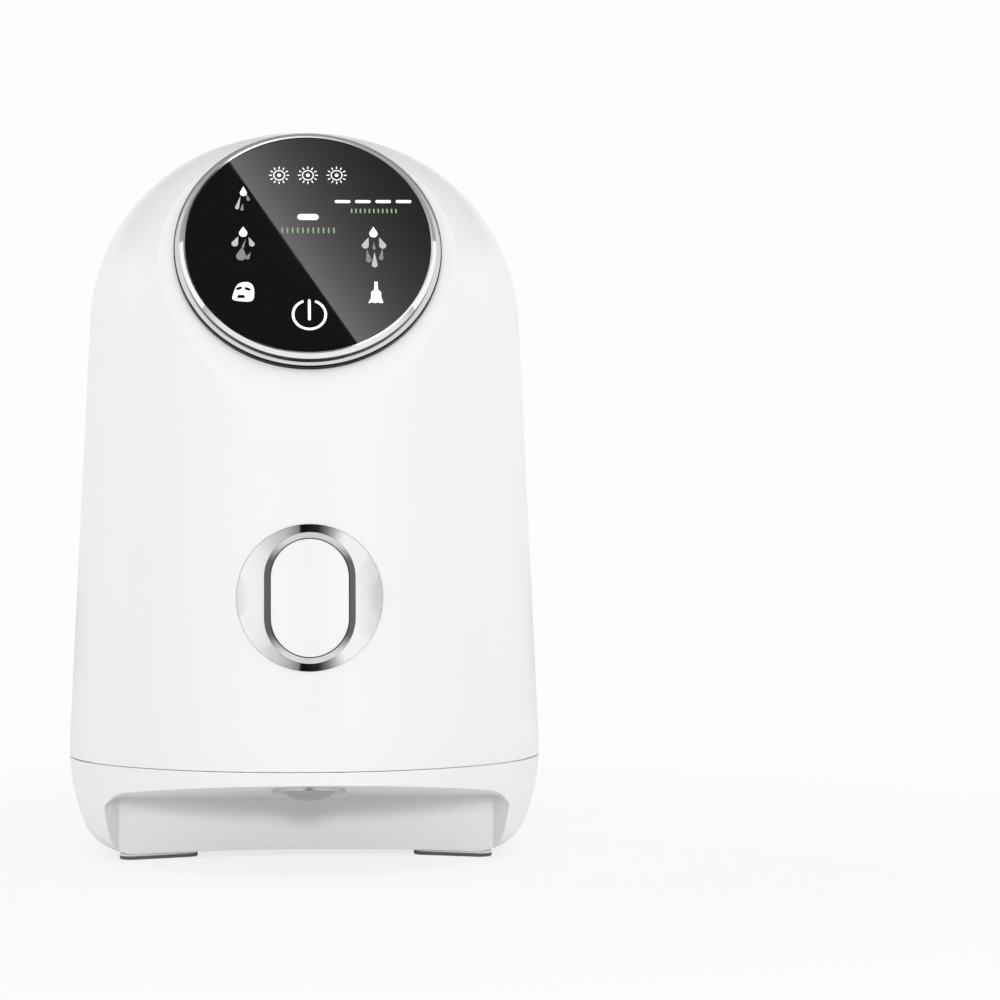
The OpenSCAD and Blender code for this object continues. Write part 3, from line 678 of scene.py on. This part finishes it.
def revolved(profile, steps=72, start=0.0, end=360.0):
    """A closed profile of radii and heights in millimetres, turned about the Z axis."""
    form = bmesh.new()
    count = len(profile)
    whole = end - start >= 360
    stops = steps if whole else steps + 1
    turns = [math.radians(start + (end - start) * i / steps) for i in range(stops)]
    rings = [[form.verts.new((r * math.cos(a) * MM, r * math.sin(a) * MM, z * MM)) for r, z in profile]
             for a in turns]
    for i in range(steps):
        here, there = rings[i], rings[(i + 1) % len(rings)]
        for j in range(count):
            k = (j + 1) % count
            form.faces.new((here[j], there[j], there[k], here[k]))
    if not whole:
        form.faces.new(rings[0])
        form.faces.new(rings[-1])
    bmesh.ops.remove_doubles(form, verts=form.verts, dist=0.00001 * MM)
    bmesh.ops.recalc_face_normals(form, faces=form.faces)
    for face in form.faces:
        face.smooth = True
    mesh = bpy.data.meshes.new("revolved")
    form.to_mesh(mesh)
    form.free()
    return mesh


def turned(loop, angle, x, y):
    """A loop turned about the origin by degrees, then moved."""
    c, s = math.cos(math.radians(angle)), math.sin(math.radians(angle))
    return [(x + c * px - s * py, y + s * px + c * py) for px, py in loop]


def softened(corners, steps=6):
    """A closed smooth curve through the corners."""
    loop = []
    n = len(corners)
    for i in range(n):
        a, b, c, d = (Vector(corners[(i + k) % n]) for k in (-1, 0, 1, 2))
        for j in range(steps):
            t = j / steps
            square = 2 * a - 5 * b + 4 * c - d
            cube = 3 * b - a - 3 * c + d
            point = b + 0.5 * t * ((c - a) + t * (square + t * cube))
            loop.append((point.x, point.y))
    return loop


def arc(x, y, r, start, end, steps=24):
    """Points along a circle's arc, from one angle in degrees to another."""
    turns = [math.radians(start + (end - start) * i / steps) for i in range(steps + 1)]
    return [(x + r * math.cos(a), y + r * math.sin(a)) for a in turns]


def circle(x, y, r, steps=32):
    """A closed circle."""
    return arc(x, y, r, 0, 360, steps)[:-1]


def pill(x, y, w, h):
    """A bar with round ends, w wide and h high."""
    r = min(w, h) / 2
    if w > h:
        return arc(x + w / 2 - r, y, r, -90, 90, 10) + arc(x - w / 2 + r, y, r, 90, 270, 10)
    return arc(x, y + h / 2 - r, r, 0, 180, 10) + arc(x, y - h / 2 + r, r, 180, 360, 10)


def drop(x, y, w, h):
    """A falling drop whose point is up; its round end is centred w / 2 above the lowest point."""
    r = w / 2
    base = y - h / 2 + r
    side = math.degrees(math.acos(r / (h - r)))
    return arc(x, base, r, 90 + side, 450 - side, 24) + [(x, y + h / 2)]


def power_sign():
    """An open ring with a bar through its gap."""
    gap = 21
    r, stroke = 4.7, 0.75
    ring = arc(0, 0, r + stroke / 2, 90 + gap, 450 - gap, 48)
    ring += arc(0, 0, r - stroke / 2, 450 - gap, 90 + gap, 48)
    return [ring, pill(0, 1.55, 0.8, 6.9)]


def mask_sign():
    """A plain sheet mask, leaning a little, with three slots."""
    cloth = softened([(0.7, 3.2), (2.6, 2.2), (3.1, -0.6), (2.5, -2.9), (0, -3.2), (-3.0, -2.6),
                      (-2.9, -0.6), (-1.7, 2.3)])
    eyes = [turned(pill(0, 0, 1.8, 0.9), 20, -1.3, 1.1), turned(pill(0, 0, 1.9, 0.9), -22, 1.2, 0.9)]
    return [cloth] + eyes + [pill(-0.7, -1.6, 2.3, 1.1)]


def brush_sign():
    """A flat mask brush, bristles down."""
    left = [(-0.4, 3.6), (-0.5, 1.0), (-1.4, 0.1), (-1.5, -1.9), (-2.3, -3.5)]
    ends = [(-0.9, -3.2), (-0.4, -3.5), (0.6, -3.2), (1.1, -3.5)]
    right = [(2.1, -3.4), (1.5, -1.6), (1.5, 0.1), (0.6, 1.0), (0.5, 3.6)]
    return [left + ends + right]


def sun_sign(rays):
    """A ring with a dot in it and rays round it."""
    ring = flat_shape([circle(0, 0, 1.74), circle(0, 0, 1.46)], settings("panel").ink)
    dot = flat_shape([circle(0, 0, 0.55, 20)], settings("panel").ink)
    ray = flat_shape([pill(2.55, 0, 0.85, 0.32)], settings("panel").ink)
    return joined(ring, dot, repeated(ray, "lit", rays, turn=360 / rays))


# Each cluster of drops, by how brightly they are lit: across, up, width, height, lean
DROPS = {
    "drop": {
        "lit": [(0.1, 3.0, 2.0, 3.3, 0)],
        "half_lit": [(-1.3, -0.9, 1.2, 4.6, -14)],
        "faint": [(1.3, 1.0, 1.0, 2.6, 16), (-0.2, -2.4, 1.0, 2.4, -8)],
    },
    "drops_left": {
        "lit": [(-0.1, 4.1, 2.4, 3.4, 0)],
        "half_lit": [(-2.2, 0.9, 1.9, 3.6, -22), (2.1, 0.8, 1.6, 3.4, 22)],
        "faint": [(-0.6, -3.2, 2.9, 4.6, -6), (1.5, -3.9, 1.2, 2.6, -28), (0.2, 0.2, 0.8, 3.4, -18)],
    },
    "drops_right": {
        "lit": [(0, 5.0, 2.4, 3.6, 0)],
        "half_lit": [(-2.1, 1.4, 2.0, 4.0, -20), (2.3, 1.4, 2.0, 4.0, 20), (0.2, -4.2, 1.7, 5.2, 0)],
        "faint": [(-1.7, -2.9, 1.6, 4.6, 8), (2.3, -2.3, 1.3, 4.2, -8), (0.1, 0.4, 0.9, 2.6, 0)],
    },
}


def drop_loops(shapes):
    """The outlines of a cluster's drops."""
    return [turned(drop(0, 0, w, h), angle, x, y) for x, y, w, h, angle in shapes]


def glass_axes():
    """The middle of the glass's face, and its across, up and outward directions."""
    low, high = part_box("panel_glass")
    middle = (low + high) / 2
    spot, outward, _, _ = surface("panel_glass").ray_cast(middle - Vector((0, 1, 0)), Vector((0, 1, 0)))
    across = Vector(ACROSS)
    up = outward.cross(across).normalized()
    return spot, across, up, outward.normalized()


def axes_turn(across, up, outward):
    """The turn that takes X, Y and Z to three directions."""
    return Matrix((across, up, outward)).transposed().to_4x4()


def surface(node):
    """A BVH tree of a CAD node as it stands."""
    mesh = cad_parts[node].data
    points = [v.co.copy() for v in mesh.vertices]
    return BVHTree.FromPolygons(points, [list(p.vertices) for p in mesh.polygons])


def aimed(place, target):
    """Stands at a place and looks at a target, upright."""
    way = Vector(target) - Vector(place)
    return Matrix.Translation(place) @ way.to_track_quat("-Z", "Y").to_matrix().to_4x4()


def picture_ray(x, y):
    """The ray from the camera through a point of the photograph."""
    camera = bpy.context.scene.camera
    lens = camera.data
    local = Vector((
        x - PICTURE / 2 + lens.shift_x * PICTURE,
        PICTURE / 2 - y + lens.shift_y * PICTURE,
        -PICTURE * lens.lens / lens.sensor_width,
    ))
    turn = camera.matrix_world.to_3x3()
    return camera.matrix_world.translation.copy(), (turn @ local).normalized()


def seen_at(tree, point):
    """Where the photograph's point falls on a surface; a miss takes the place nearest the ray."""
    start, way = picture_ray(*point)
    spot, _, _, _ = tree.ray_cast(start, way)
    if spot is None:
        # The object lies between 0.7 and 1.3 metres from the camera
        steps = [start + way * (0.7 + 0.01 * i) for i in range(60)]
        spot = min((tree.find_nearest(p) for p in steps), key=lambda hit: hit[3])[0]
    return spot


def to_picture(place):
    """Where a place shows in the photograph's frame."""
    camera = bpy.context.scene.camera
    lens = camera.data
    local = camera.matrix_world.inverted() @ place
    reach = PICTURE * lens.lens / lens.sensor_width
    x = PICTURE / 2 - lens.shift_x * PICTURE + reach * local.x / -local.z
    y = PICTURE / 2 + lens.shift_y * PICTURE - reach * local.y / -local.z
    return x, y


# Operators

class MASKMAKER_OT_stage(bpy.types.Operator):
    """Camera, floor, lamps and the cards that show in the gloss"""
    bl_idname = "maskmaker.stage"
    bl_label = "Set the studio"

    # Each lamp in metres: where it stands and how wide it is, then the setting for its power
    lamps = {
        "front": ((0, -1.9, 0.48), 0.22, "front"),
        "left": ((-1.15, 0.62, 0.35), 0.8, "side"),
        "right": ((1.15, 0.62, 0.35), 0.8, "side"),
        "top": ((0.1, -0.5, 1.5), 1.2, "top"),
    }

    # What the lamps point at
    lamp_target = (0, 0, 0.1)

    # How far from the object's middle the floor starts to fade, and where it has faded
    floor_near = 0.12
    floor_far = 0.45

    # Tones along the wall behind the camera: distance across in metres, then brightness
    wall_tones = [
        (-1.30, 0.75), (-1.10, 0.95), (-0.88, 0.90), (-0.62, 0.66), (-0.40, 0.52), (-0.21, 0.30),
        (-0.139, 0.22), (-0.125, 0.0), (0.186, 0.02), (0.335, 0.19), (0.448, 0.42), (0.544, 0.70),
        (0.643, 0.93), (0.965, 0.93), (1.20, 0.76), (1.42, 0.60),
    ]

    def execute(self, context):
        studio = settings("studio")
        self.camera(studio)
        self.world(studio)
        self.floor(studio)
        for name, (place, size, power) in self.lamps.items():
            self.lamp(name, place, size, getattr(studio, power))
        self.glass_card(settings("panel"))
        self.front_wall()
        self.ceiling()
        context.scene.view_settings.view_transform = "Standard"
        return {"FINISHED"}

    def camera(self, studio):
        lens = bpy.data.cameras.new("camera")
        lens.lens = studio.lens
        lens.sensor_width = SENSOR
        lens.sensor_fit = "AUTO"
        lens.clip_start = 0.05
        camera = placed("camera", lens)
        camera.matrix_world = aimed(Vector(studio.camera_place), studio.camera_aim)
        bpy.context.scene.camera = camera
        bpy.context.view_layer.update()

    def world(self, studio):
        """Even light from all round, and the backdrop that the camera and the gloss see."""
        world = bpy.data.worlds.new("studio")
        bpy.context.scene.world = world
        world.use_nodes = True
        nodes, links = network(world)
        nodes.clear()
        path = nodes.new("ShaderNodeLightPath")
        seen = path.outputs["Is Camera Ray"]
        for ray in ("Is Glossy Ray", "Is Transmission Ray"):
            seen = calculate(nodes, links, "MAXIMUM", seen, path.outputs[ray])
        mix = nodes.new("ShaderNodeMixShader")
        for socket, strength in ((mix.inputs[1], studio.ambient), (mix.inputs[2], studio.backdrop)):
            light = filled(nodes.new("ShaderNodeBackground"), Color=(1, 1, 1, 1), Strength=strength)
            links.new(light.outputs[0], socket)
        out = nodes.new("ShaderNodeOutputWorld")
        links.new(seen, mix.inputs["Fac"])
        links.new(mix.outputs[0], out.inputs["Surface"])

    def floor(self, studio):
        """Near the object it is shaded; farther off it fades into the backdrop."""
        mesh = bpy.data.meshes.new("floor")
        form = bmesh.new()
        bmesh.ops.create_grid(form, x_segments=8, y_segments=8, size=4)
        bmesh.ops.translate(form, verts=form.verts, vec=(0, 0, -0.05 * MM))
        form.to_mesh(mesh)
        form.free()
        floor = placed("floor", mesh)
        material, nodes, links = self.blank("pale_floor")
        path = nodes.new("ShaderNodeLightPath")
        where = nodes.new("ShaderNodeTexCoord").outputs["Object"]
        far = calculate(nodes, links, "LENGTH", where, kind=VECTORS)
        near = filled(nodes.new("ShaderNodeMapRange"), From_Min=self.floor_near,
                      From_Max=self.floor_far, To_Min=studio.shadow, To_Max=0.0)
        near.interpolation_type = "SMOOTHSTEP"
        hidden = calculate(nodes, links, "SUBTRACT", 1.0, near.outputs["Result"])
        share = calculate(nodes, links, "MULTIPLY", hidden, path.outputs["Is Camera Ray"])
        glow = filled(nodes.new("ShaderNodeEmission"), Strength=studio.backdrop)
        paint = filled(nodes.new("ShaderNodeBsdfDiffuse"), Color=(0.97, 0.97, 0.97, 1))
        mix = nodes.new("ShaderNodeMixShader")
        out = nodes.new("ShaderNodeOutputMaterial")
        links.new(far, near.inputs["Value"])
        links.new(share, mix.inputs["Fac"])
        links.new(paint.outputs[0], mix.inputs[1])
        links.new(glow.outputs[0], mix.inputs[2])
        links.new(mix.outputs[0], out.inputs["Surface"])
        mesh.materials.append(material)

    def blank(self, name):
        """A material with no nodes yet."""
        material = bpy.data.materials.new(name)
        material.use_nodes = True
        material.node_tree.nodes.clear()
        return material, *network(material)

    def glowing(self, name, strength=1.0):
        """A material that only gives off light."""
        material, nodes, links = self.blank(name)
        glow = filled(nodes.new("ShaderNodeEmission"), Strength=strength)
        out = nodes.new("ShaderNodeOutputMaterial")
        links.new(glow.outputs[0], out.inputs["Surface"])
        return material, nodes, links, glow

    def card(self, name, width, height, place, material):
        """A card that only shows in the gloss."""
        mesh = bpy.data.meshes.new(name)
        x, y = width / 2, height / 2
        mesh.from_pydata([(-x, -y, 0), (x, -y, 0), (x, y, 0), (-x, y, 0)], [], [(0, 1, 2, 3)])
        mesh.materials.append(material)
        card = placed(name, mesh)
        card.matrix_world = place
        for ray in ("camera", "diffuse", "transmission", "volume_scatter", "shadow"):
            setattr(card, "visible_" + ray, False)

    def glass_card(self, panel):
        """What the glass mirrors: black, and past a slanting edge a sheen that fades.

        It stands off the glass, parallel to it, and is scaled up, so that from the photograph's
        place its own coordinates show mirrored on the same coordinates of the glass."""
        middle, across, up, outward = glass_axes()
        camera = Vector(settings("studio").camera_place) - middle
        rise = 0.5
        share = rise / camera.dot(outward)
        aside = across * camera.dot(across) + up * camera.dot(up)
        place = middle + outward * rise - aside * share
        material, nodes, links, glow = self.glowing("glass_card")
        top, bottom = Vector(panel.sheen_top), Vector(panel.sheen_bottom)
        edge = (bottom - top).normalized()
        side = Vector((-edge.y, edge.x, 0))
        past = along(nodes, links, side, (top.x, top.y, 0))
        reach = calculate(nodes, links, "DIVIDE", past, -panel.sheen_reach)
        fade = calculate(nodes, links, "EXPONENT", reach)
        lit = calculate(nodes, links, "GREATER_THAN", past, 0)
        sheen = calculate(nodes, links, "MULTIPLY", lit, panel.sheen)
        bright = calculate(nodes, links, "MULTIPLY", fade, sheen)
        links.new(bright, glow.inputs["Strength"])
        stand = Matrix.Translation(place) @ axes_turn(across, up, outward) @ Matrix.Scale(1 + share, 4)
        width = 0.074
        self.card("glass_card", width, width, stand, material)

    def ceiling(self):
        """What the panel's trim mirrors along its top."""
        material, _, _, _ = self.glowing("ceiling_card", 0.36)
        self.card("ceiling_card", 5, 4, Matrix.Translation((0, 1.3, 1.45)), material)

    def front_wall(self):
        """What the upright chrome mirrors: a dark middle between pale sides."""
        left, right = self.wall_tones[0][0], self.wall_tones[-1][0]
        centre, width = (left + right) / 2, right - left
        material, nodes, links, glow = self.glowing("front_wall", 1.2)
        where = nodes.new("ShaderNodeTexCoord")
        axes = nodes.new("ShaderNodeSeparateXYZ")
        span = filled(nodes.new("ShaderNodeMapRange"), From_Min=-width / 2, From_Max=width / 2)
        ramp = nodes.new("ShaderNodeValToRGB")
        stops = ramp.color_ramp.elements
        while len(stops) < len(self.wall_tones):
            stops.new(1.0)
        for stop, (x, tone) in zip(stops, self.wall_tones):
            stop.position = (x - left) / width
            stop.color = (tone, tone, tone, 1)
        links.new(where.outputs["Object"], axes.inputs[0])
        links.new(axes.outputs["X"], span.inputs["Value"])
        links.new(span.outputs["Result"], ramp.inputs["Fac"])
        links.new(ramp.outputs["Color"], glow.inputs["Color"])
        place = Matrix.Translation((centre, -2.0, 0.25)) @ Matrix.Rotation(math.radians(90), 4, "X")
        self.card("front_wall", width, 0.7, place, material)

    def lamp(self, name, place, size, power):
        """A round lamp that faces the object and doesn't show in the gloss."""
        light = bpy.data.lights.new(name, "AREA")
        light.shape = "DISK"
        light.size = size
        light.energy = power
        lamp = placed(name, light)
        lamp.matrix_world = aimed(Vector(place), self.lamp_target)
        lamp.visible_glossy = False


class MASKMAKER_OT_shell(bpy.types.Operator):
    """Finishes of the CAD pieces, inside and out"""
    bl_idname = "maskmaker.shell"
    bl_label = "Finish the CAD pieces"

    finishes = {
        "moulding": ("main_housing", "lid", "cup_chute"),
        "base": ("base_shell",),
        "inner": ("base_plate", "button_carrier", "motor_bracket"),
        "liner": ("lid_liner",),
        "cap": ("button_cap", "stirrer"),
        "pad": ("foot_pads",),
        "silicone": ("lid_gasket", "cup_gasket", "shaft_seal", "inlet_tube", "outlet_tube"),
        "steel": ("hinge_pin", "button_spring", "valve_spring", "valve_plunger", "housing_screws",
                  "plate_screws", "liner_screws", "bracket_screws", "board_screws", "motor_can"),
        "cup": ("mixing_cup",),
        "tray": ("panel_tray",),
        "bezel": ("panel_bezel",),
        "chrome": ("chest_disc",),
        "nozzle": ("nozzle", "nozzle_flange"),
        "ring": ("button_ring",),
        "glass": ("panel_glass",),
        "dark": ("light_mask", "switch_nub", "motor_end_cap", "power_inlet", "board_parts", "thermistor",
                 "speaker"),
        "diffuser": ("key_lights",),
        "board": ("touch_board", "button_switch", "main_board", "power_board"),
        "ribbon": ("panel_ribbon",),
        "foil": ("heater_band",),
        "felt": ("cup_insulation",),
        "tan": ("thermal_fuse",),
        "iron": ("motor_rotor", "motor_magnets"),
        "ivory": ("valve_body",),
        "brass": ("valve_sleeve", "inlet_pins"),
        "copper": ("valve_coil",),
        "amber": ("power_parts",),
    }

    def execute(self, context):
        for material, nodes in self.finishes.items():
            for node in nodes:
                dress(node, material)
        return {"FINISHED"}


class MASKMAKER_OT_feet(bpy.types.Operator):
    """The four pads under the base, with their rims rounded"""
    bl_idname = "maskmaker.feet"
    bl_label = "Make the feet"

    def execute(self, context):
        low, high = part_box("foot_pads")
        height = high.z - low.z
        soft = 0.3 * MM
        pads = []
        for side in (-1, 1):
            front = turned(pill(0, 0, 24.4, 7.2), -22 * side, 44.2 * side, -14.4)
            pads.append(flat_shape([front], height, soft))
            pads.append(flat_shape([circle(30 * side, 37, 8)], height, soft))
        mesh = joined(*pads)
        mesh.transform(Matrix.Translation((0, 0, (low.z + high.z) / 2)))
        feet = piece("feet", mesh, "pad", "housing")
        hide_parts("foot_pads")
        return {"FINISHED"}


class MASKMAKER_OT_springs(bpy.types.Operator):
    """The valve's spring and the button's"""
    bl_idname = "maskmaker.springs"
    bl_label = "Wind the springs"

    def execute(self, context):
        low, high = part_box("valve_spring")
        mesh = coiled(3.0, 0.35, (high.z - low.z) / MM, 5, "steel")
        mesh.transform(Matrix.Translation(((low.x + high.x) / 2, (low.y + high.y) / 2, low.z)))
        spring = piece("plunger_spring", mesh, "steel", "housing")
        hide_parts("valve_spring")
        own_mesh(spring)
        low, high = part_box("button_spring")
        mesh = coiled(4.6, 0.4, (high.y - low.y) / MM, 4, "steel")
        mesh.transform(Matrix.Rotation(math.radians(-90), 4, "X"))
        mesh.transform(Matrix.Translation(((low.x + high.x) / 2, low.y, (low.z + high.z) / 2)))
        spring = piece("return_spring", mesh, "steel", "front_button")
        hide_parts("button_spring")
        return {"FINISHED"}


class MASKMAKER_OT_inside(bpy.types.Operator):
    """Level marks in the cup, the speaker's cone, and the small parts on the boards"""
    bl_idname = "maskmaker.inside"
    bl_label = "Fit the inside"

    def execute(self, context):
        self.level_marks()
        self.speaker_cone()
        self.chip_legs()
        self.resistors()
        self.capacitor_vents()
        return {"FINISHED"}

    def level_marks(self):
        """Three plain marks etched in the front of the cup's wall, 10 mm apart."""
        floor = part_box("mixing_cup")[0].z
        low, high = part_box("heater_band")
        middle = (low + high) / 2
        heater_to_inside = 3.05
        wall = (high.x - middle.x) / MM - heater_to_inside
        inner, outer, half = wall - 0.08, wall + 0.2, 0.35
        profile = [(inner, -half), (outer, -half), (outer, half), (inner, half)]
        mark = revolved(profile, steps=16, start=-106, end=-74)
        mesh = repeated(mark, "etched", 3, step=(0, 0, 10))
        mesh.transform(Matrix.Translation((middle.x, middle.y, floor + 22 * MM)))
        piece("level_marks", mesh, "etched", "housing")

    def speaker_cone(self):
        """A thin cone with a rolled edge, raised round its middle, in the speaker's mouth."""
        low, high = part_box("speaker")
        under = [(6.9, 0.35), (6.4, 0.15), (5.9, 0.35), (2.5, 0.85), (1.8, 0.45), (0.6, 0.25)]
        over = [(0.6, 0.4), (1.7, 0.6), (2.4, 0.98), (6.0, 0.5), (6.4, 0.3), (6.9, 0.5)]
        cone = revolved(under + over)
        cone.transform(Matrix.Translation(((low.x + high.x) / 2, (low.y + high.y) / 2, low.z)))
        piece("speaker_cone", cone, "cone", "housing")

    def on_board(self, x, z):
        """A frame on the rear face of the main board, in millimetres."""
        low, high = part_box("main_board")
        turn = Matrix(((-1, 0, 0), (0, 0, 1), (0, 1, 0))).to_4x4()
        return Matrix.Translation((x * MM, high.y, low.z + z * MM)) @ turn

    def chip_legs(self):
        """Twelve legs down each side of the square chip."""
        leg = flat_shape([[(-0.22, 0), (0.22, 0), (0.22, 1.5), (-0.22, 1.5)]], 0.25 * MM, 0.04 * MM)
        row = repeated(leg, "tinned", 12, step=(0.95, 0, 0))
        row.transform(Matrix.Translation((-5.2 * MM, 6.0 * MM, 0.2 * MM)))
        mesh = repeated(row, "tinned", 4, turn=90)
        mesh.transform(self.on_board(0, 32))
        piece("chip_legs", mesh, "tinned", "housing")

    def resistors(self):
        """A row of seven small resistors under the chip."""
        body = flat_shape([pill(0, 0, 2.0, 1.2)], 0.6 * MM, 0.08 * MM)
        mesh = repeated(body, "dark", 7, step=(3.6, 0, 0))
        mesh.transform(self.on_board(10.8, 4) @ Matrix.Translation((0, 0, 0.3 * MM)))
        piece("resistors", mesh, "dark", "housing")

    def capacitor_vents(self):
        """The pale crossed vents on the two capacitors of the power board."""
        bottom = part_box("power_parts")[0].z
        bar = flat_shape([pill(0, 0, 6.5, 0.5)], 0.3 * MM, 0.05 * MM)
        cross = repeated(bar, "tinned", 2, turn=90)
        mesh = repeated(cross, "tinned", 2, step=(0, 13, 0))
        mesh.transform(Matrix.Translation((-24 * MM, 10 * MM, bottom + 16.1 * MM)))
        piece("capacitor_vents", mesh, "tinned", "housing")


class MASKMAKER_OT_signs(bpy.types.Operator):
    """The lit signs on the glass"""
    bl_idname = "maskmaker.signs"
    bl_label = "Print the panel's signs"

    def execute(self, context):
        panel = settings("panel")
        self.glass = surface("panel_glass")
        self.turn = axes_turn(*glass_axes()[1:])
        self.ink = panel.ink
        self.sign("power_sign", power_sign(), "power")
        self.sign("mask_sign", mask_sign(), "mask")
        self.sign("brush_sign", brush_sign(), "brush")
        self.sign("lamp_sign", [pill(0, 0, 6.2, 2.0)], "lamp")
        for point, tones in DROPS.items():
            for tone, shapes in tones.items():
                self.sign(point + "_" + tone, drop_loops(shapes), point, tone)
        self.row("suns", sun_sign(panel.sun_rays), "lit", 3, *self.span("sun_first", "sun_last"))
        bar = flat_shape([pill(0, 0, 4.6, 1.0)], self.ink)
        self.row("step_bars", bar, "lit", 4, *self.span("step_first", "step_last"))
        self.ticks("lamp_ticks", "lamp", (-7.5, -4.5), 15.0, 1.9)
        self.ticks("step_ticks", "step_first", (2.6, -3.1), 13.0, 1.5)
        return {"FINISHED"}

    def sign(self, name, loops, point, material="lit"):
        """A sign that has a point of its own."""
        place = seen_at(self.glass, FEATURE_POINTS[point])
        self.row(name, flat_shape(loops, self.ink), material, 1, place)

    def span(self, first, last):
        """Where two points fall on the glass."""
        return [seen_at(self.glass, FEATURE_POINTS[point]) for point in (first, last)]

    def row(self, name, mesh, material, count, first, last=None):
        """A sign, or several evenly from the first place to the last."""
        step = ORIGIN
        if last is not None:
            step = (self.turn.inverted() @ (last - first)) / (MM * (count - 1))
        mesh = repeated(mesh, material, count, step)
        mesh.transform(Matrix.Translation(first) @ self.turn)
        piece(name, mesh, material, "housing")

    def ticks(self, name, point, offset, width, height):
        """Plain ticks in place of a printed word, offset in millimetres from a point."""
        count = settings("panel").ticks
        first = seen_at(self.glass, FEATURE_POINTS[point]) + self.turn @ Vector((*offset, 0)) * MM
        last = first + self.turn @ Vector((width * MM, 0, 0))
        self.row(name, flat_shape([pill(0, 0, 0.42, height)], self.ink), "green", count, first, last)


CLASSES = [StudioSettings, ShellSettings, PanelSettings, MASKMAKER_OT_stage, MASKMAKER_OT_shell,
           MASKMAKER_OT_feet, MASKMAKER_OT_springs, MASKMAKER_OT_inside, MASKMAKER_OT_signs]


class MASKMAKER_PT_panel(bpy.types.Panel):
    """The operators in the order in which they run"""
    bl_idname = "MASKMAKER_PT_panel"
    bl_label = "Mask maker"
    bl_space_type = "VIEW_3D"
    bl_region_type = "UI"
    bl_category = "Mask maker"

    def draw(self, context):
        for name in STEPS:
            self.layout.operator("maskmaker." + name)


STEPS = ["stage", "shell", "feet", "springs", "inside", "signs"]


def register():
    for cls in CLASSES + [MASKMAKER_PT_panel]:
        bpy.utils.register_class(cls)
    for name, group in SETTINGS.items():
        setattr(bpy.types.Scene, "mask_maker_" + name, PointerProperty(type=group))


def unregister():
    for name in SETTINGS:
        delattr(bpy.types.Scene, "mask_maker_" + name)
    for cls in reversed(CLASSES + [MASKMAKER_PT_panel]):
        bpy.utils.unregister_class(cls)


def shown_points(name):
    """A piece's finished vertices that show, in the picture's frame."""
    thing = bpy.data.objects[name]
    graph = bpy.context.evaluated_depsgraph_get()
    eye = bpy.context.scene.camera.matrix_world.translation
    shape = thing.evaluated_get(graph)
    mesh = shape.to_mesh()
    places = []
    for vertex in mesh.vertices:
        place = thing.matrix_world @ vertex.co
        way = place - eye
        hit, spot, *_ = bpy.context.scene.ray_cast(graph, eye, way)
        if not hit or (spot - eye).length > way.length - 0.3 * MM:
            places.append(to_picture(place))
    shape.to_mesh_clear()
    return places


def write_points():
    """How far each thing shows from its point in the photograph, in pixels across and down."""
    skins = ("main_housing", "base_shell", "lid", "panel_tray", "panel_bezel", "feet")
    spots = [spot for name in skins for spot in shown_points(name)]
    edges = {"left": min(x for x, _ in spots), "right": max(x for x, _ in spots),
             "top": min(y for _, y in spots), "bottom": max(y for _, y in spots)}
    offsets = {name: round(edges[name] - wanted, 2) for name, wanted in EDGE_POINTS.items()}
    rows = {"sun_first": "suns", "sun_last": "suns", "step_first": "step_bars", "step_last": "step_bars"}
    signs = {"lamp": ["lamp_sign"], "mask": ["mask_sign"], "brush": ["brush_sign"], "power": ["power_sign"],
             "chest_disc": ["chest_disc", "button_ring"], "nozzle": ["nozzle", "nozzle_flange"]}
    for point, tones in DROPS.items():
        signs[point] = [point + "_" + tone for tone in tones]
    for name, wanted in FEATURE_POINTS.items():
        things = signs.get(name) or [rows[name]]
        spots = [spot for thing in things for spot in shown_points(thing)]
        if name in rows:
            spots = [spot for spot in spots if abs(spot[0] - wanted[0]) < 9]
        if spots:
            middle = [(min(along) + max(along)) / 2 for along in zip(*spots)]
            offsets[name] = [round(seen - point, 2) for seen, point in zip(middle, wanted)]
        else:
            offsets[name] = None


def main():
    register()
    make_materials()
    for step in STEPS:
        getattr(bpy.ops.maskmaker, step)()
    bpy.context.view_layer.update()
    write_points()


if __name__ == "__main__":
    main()
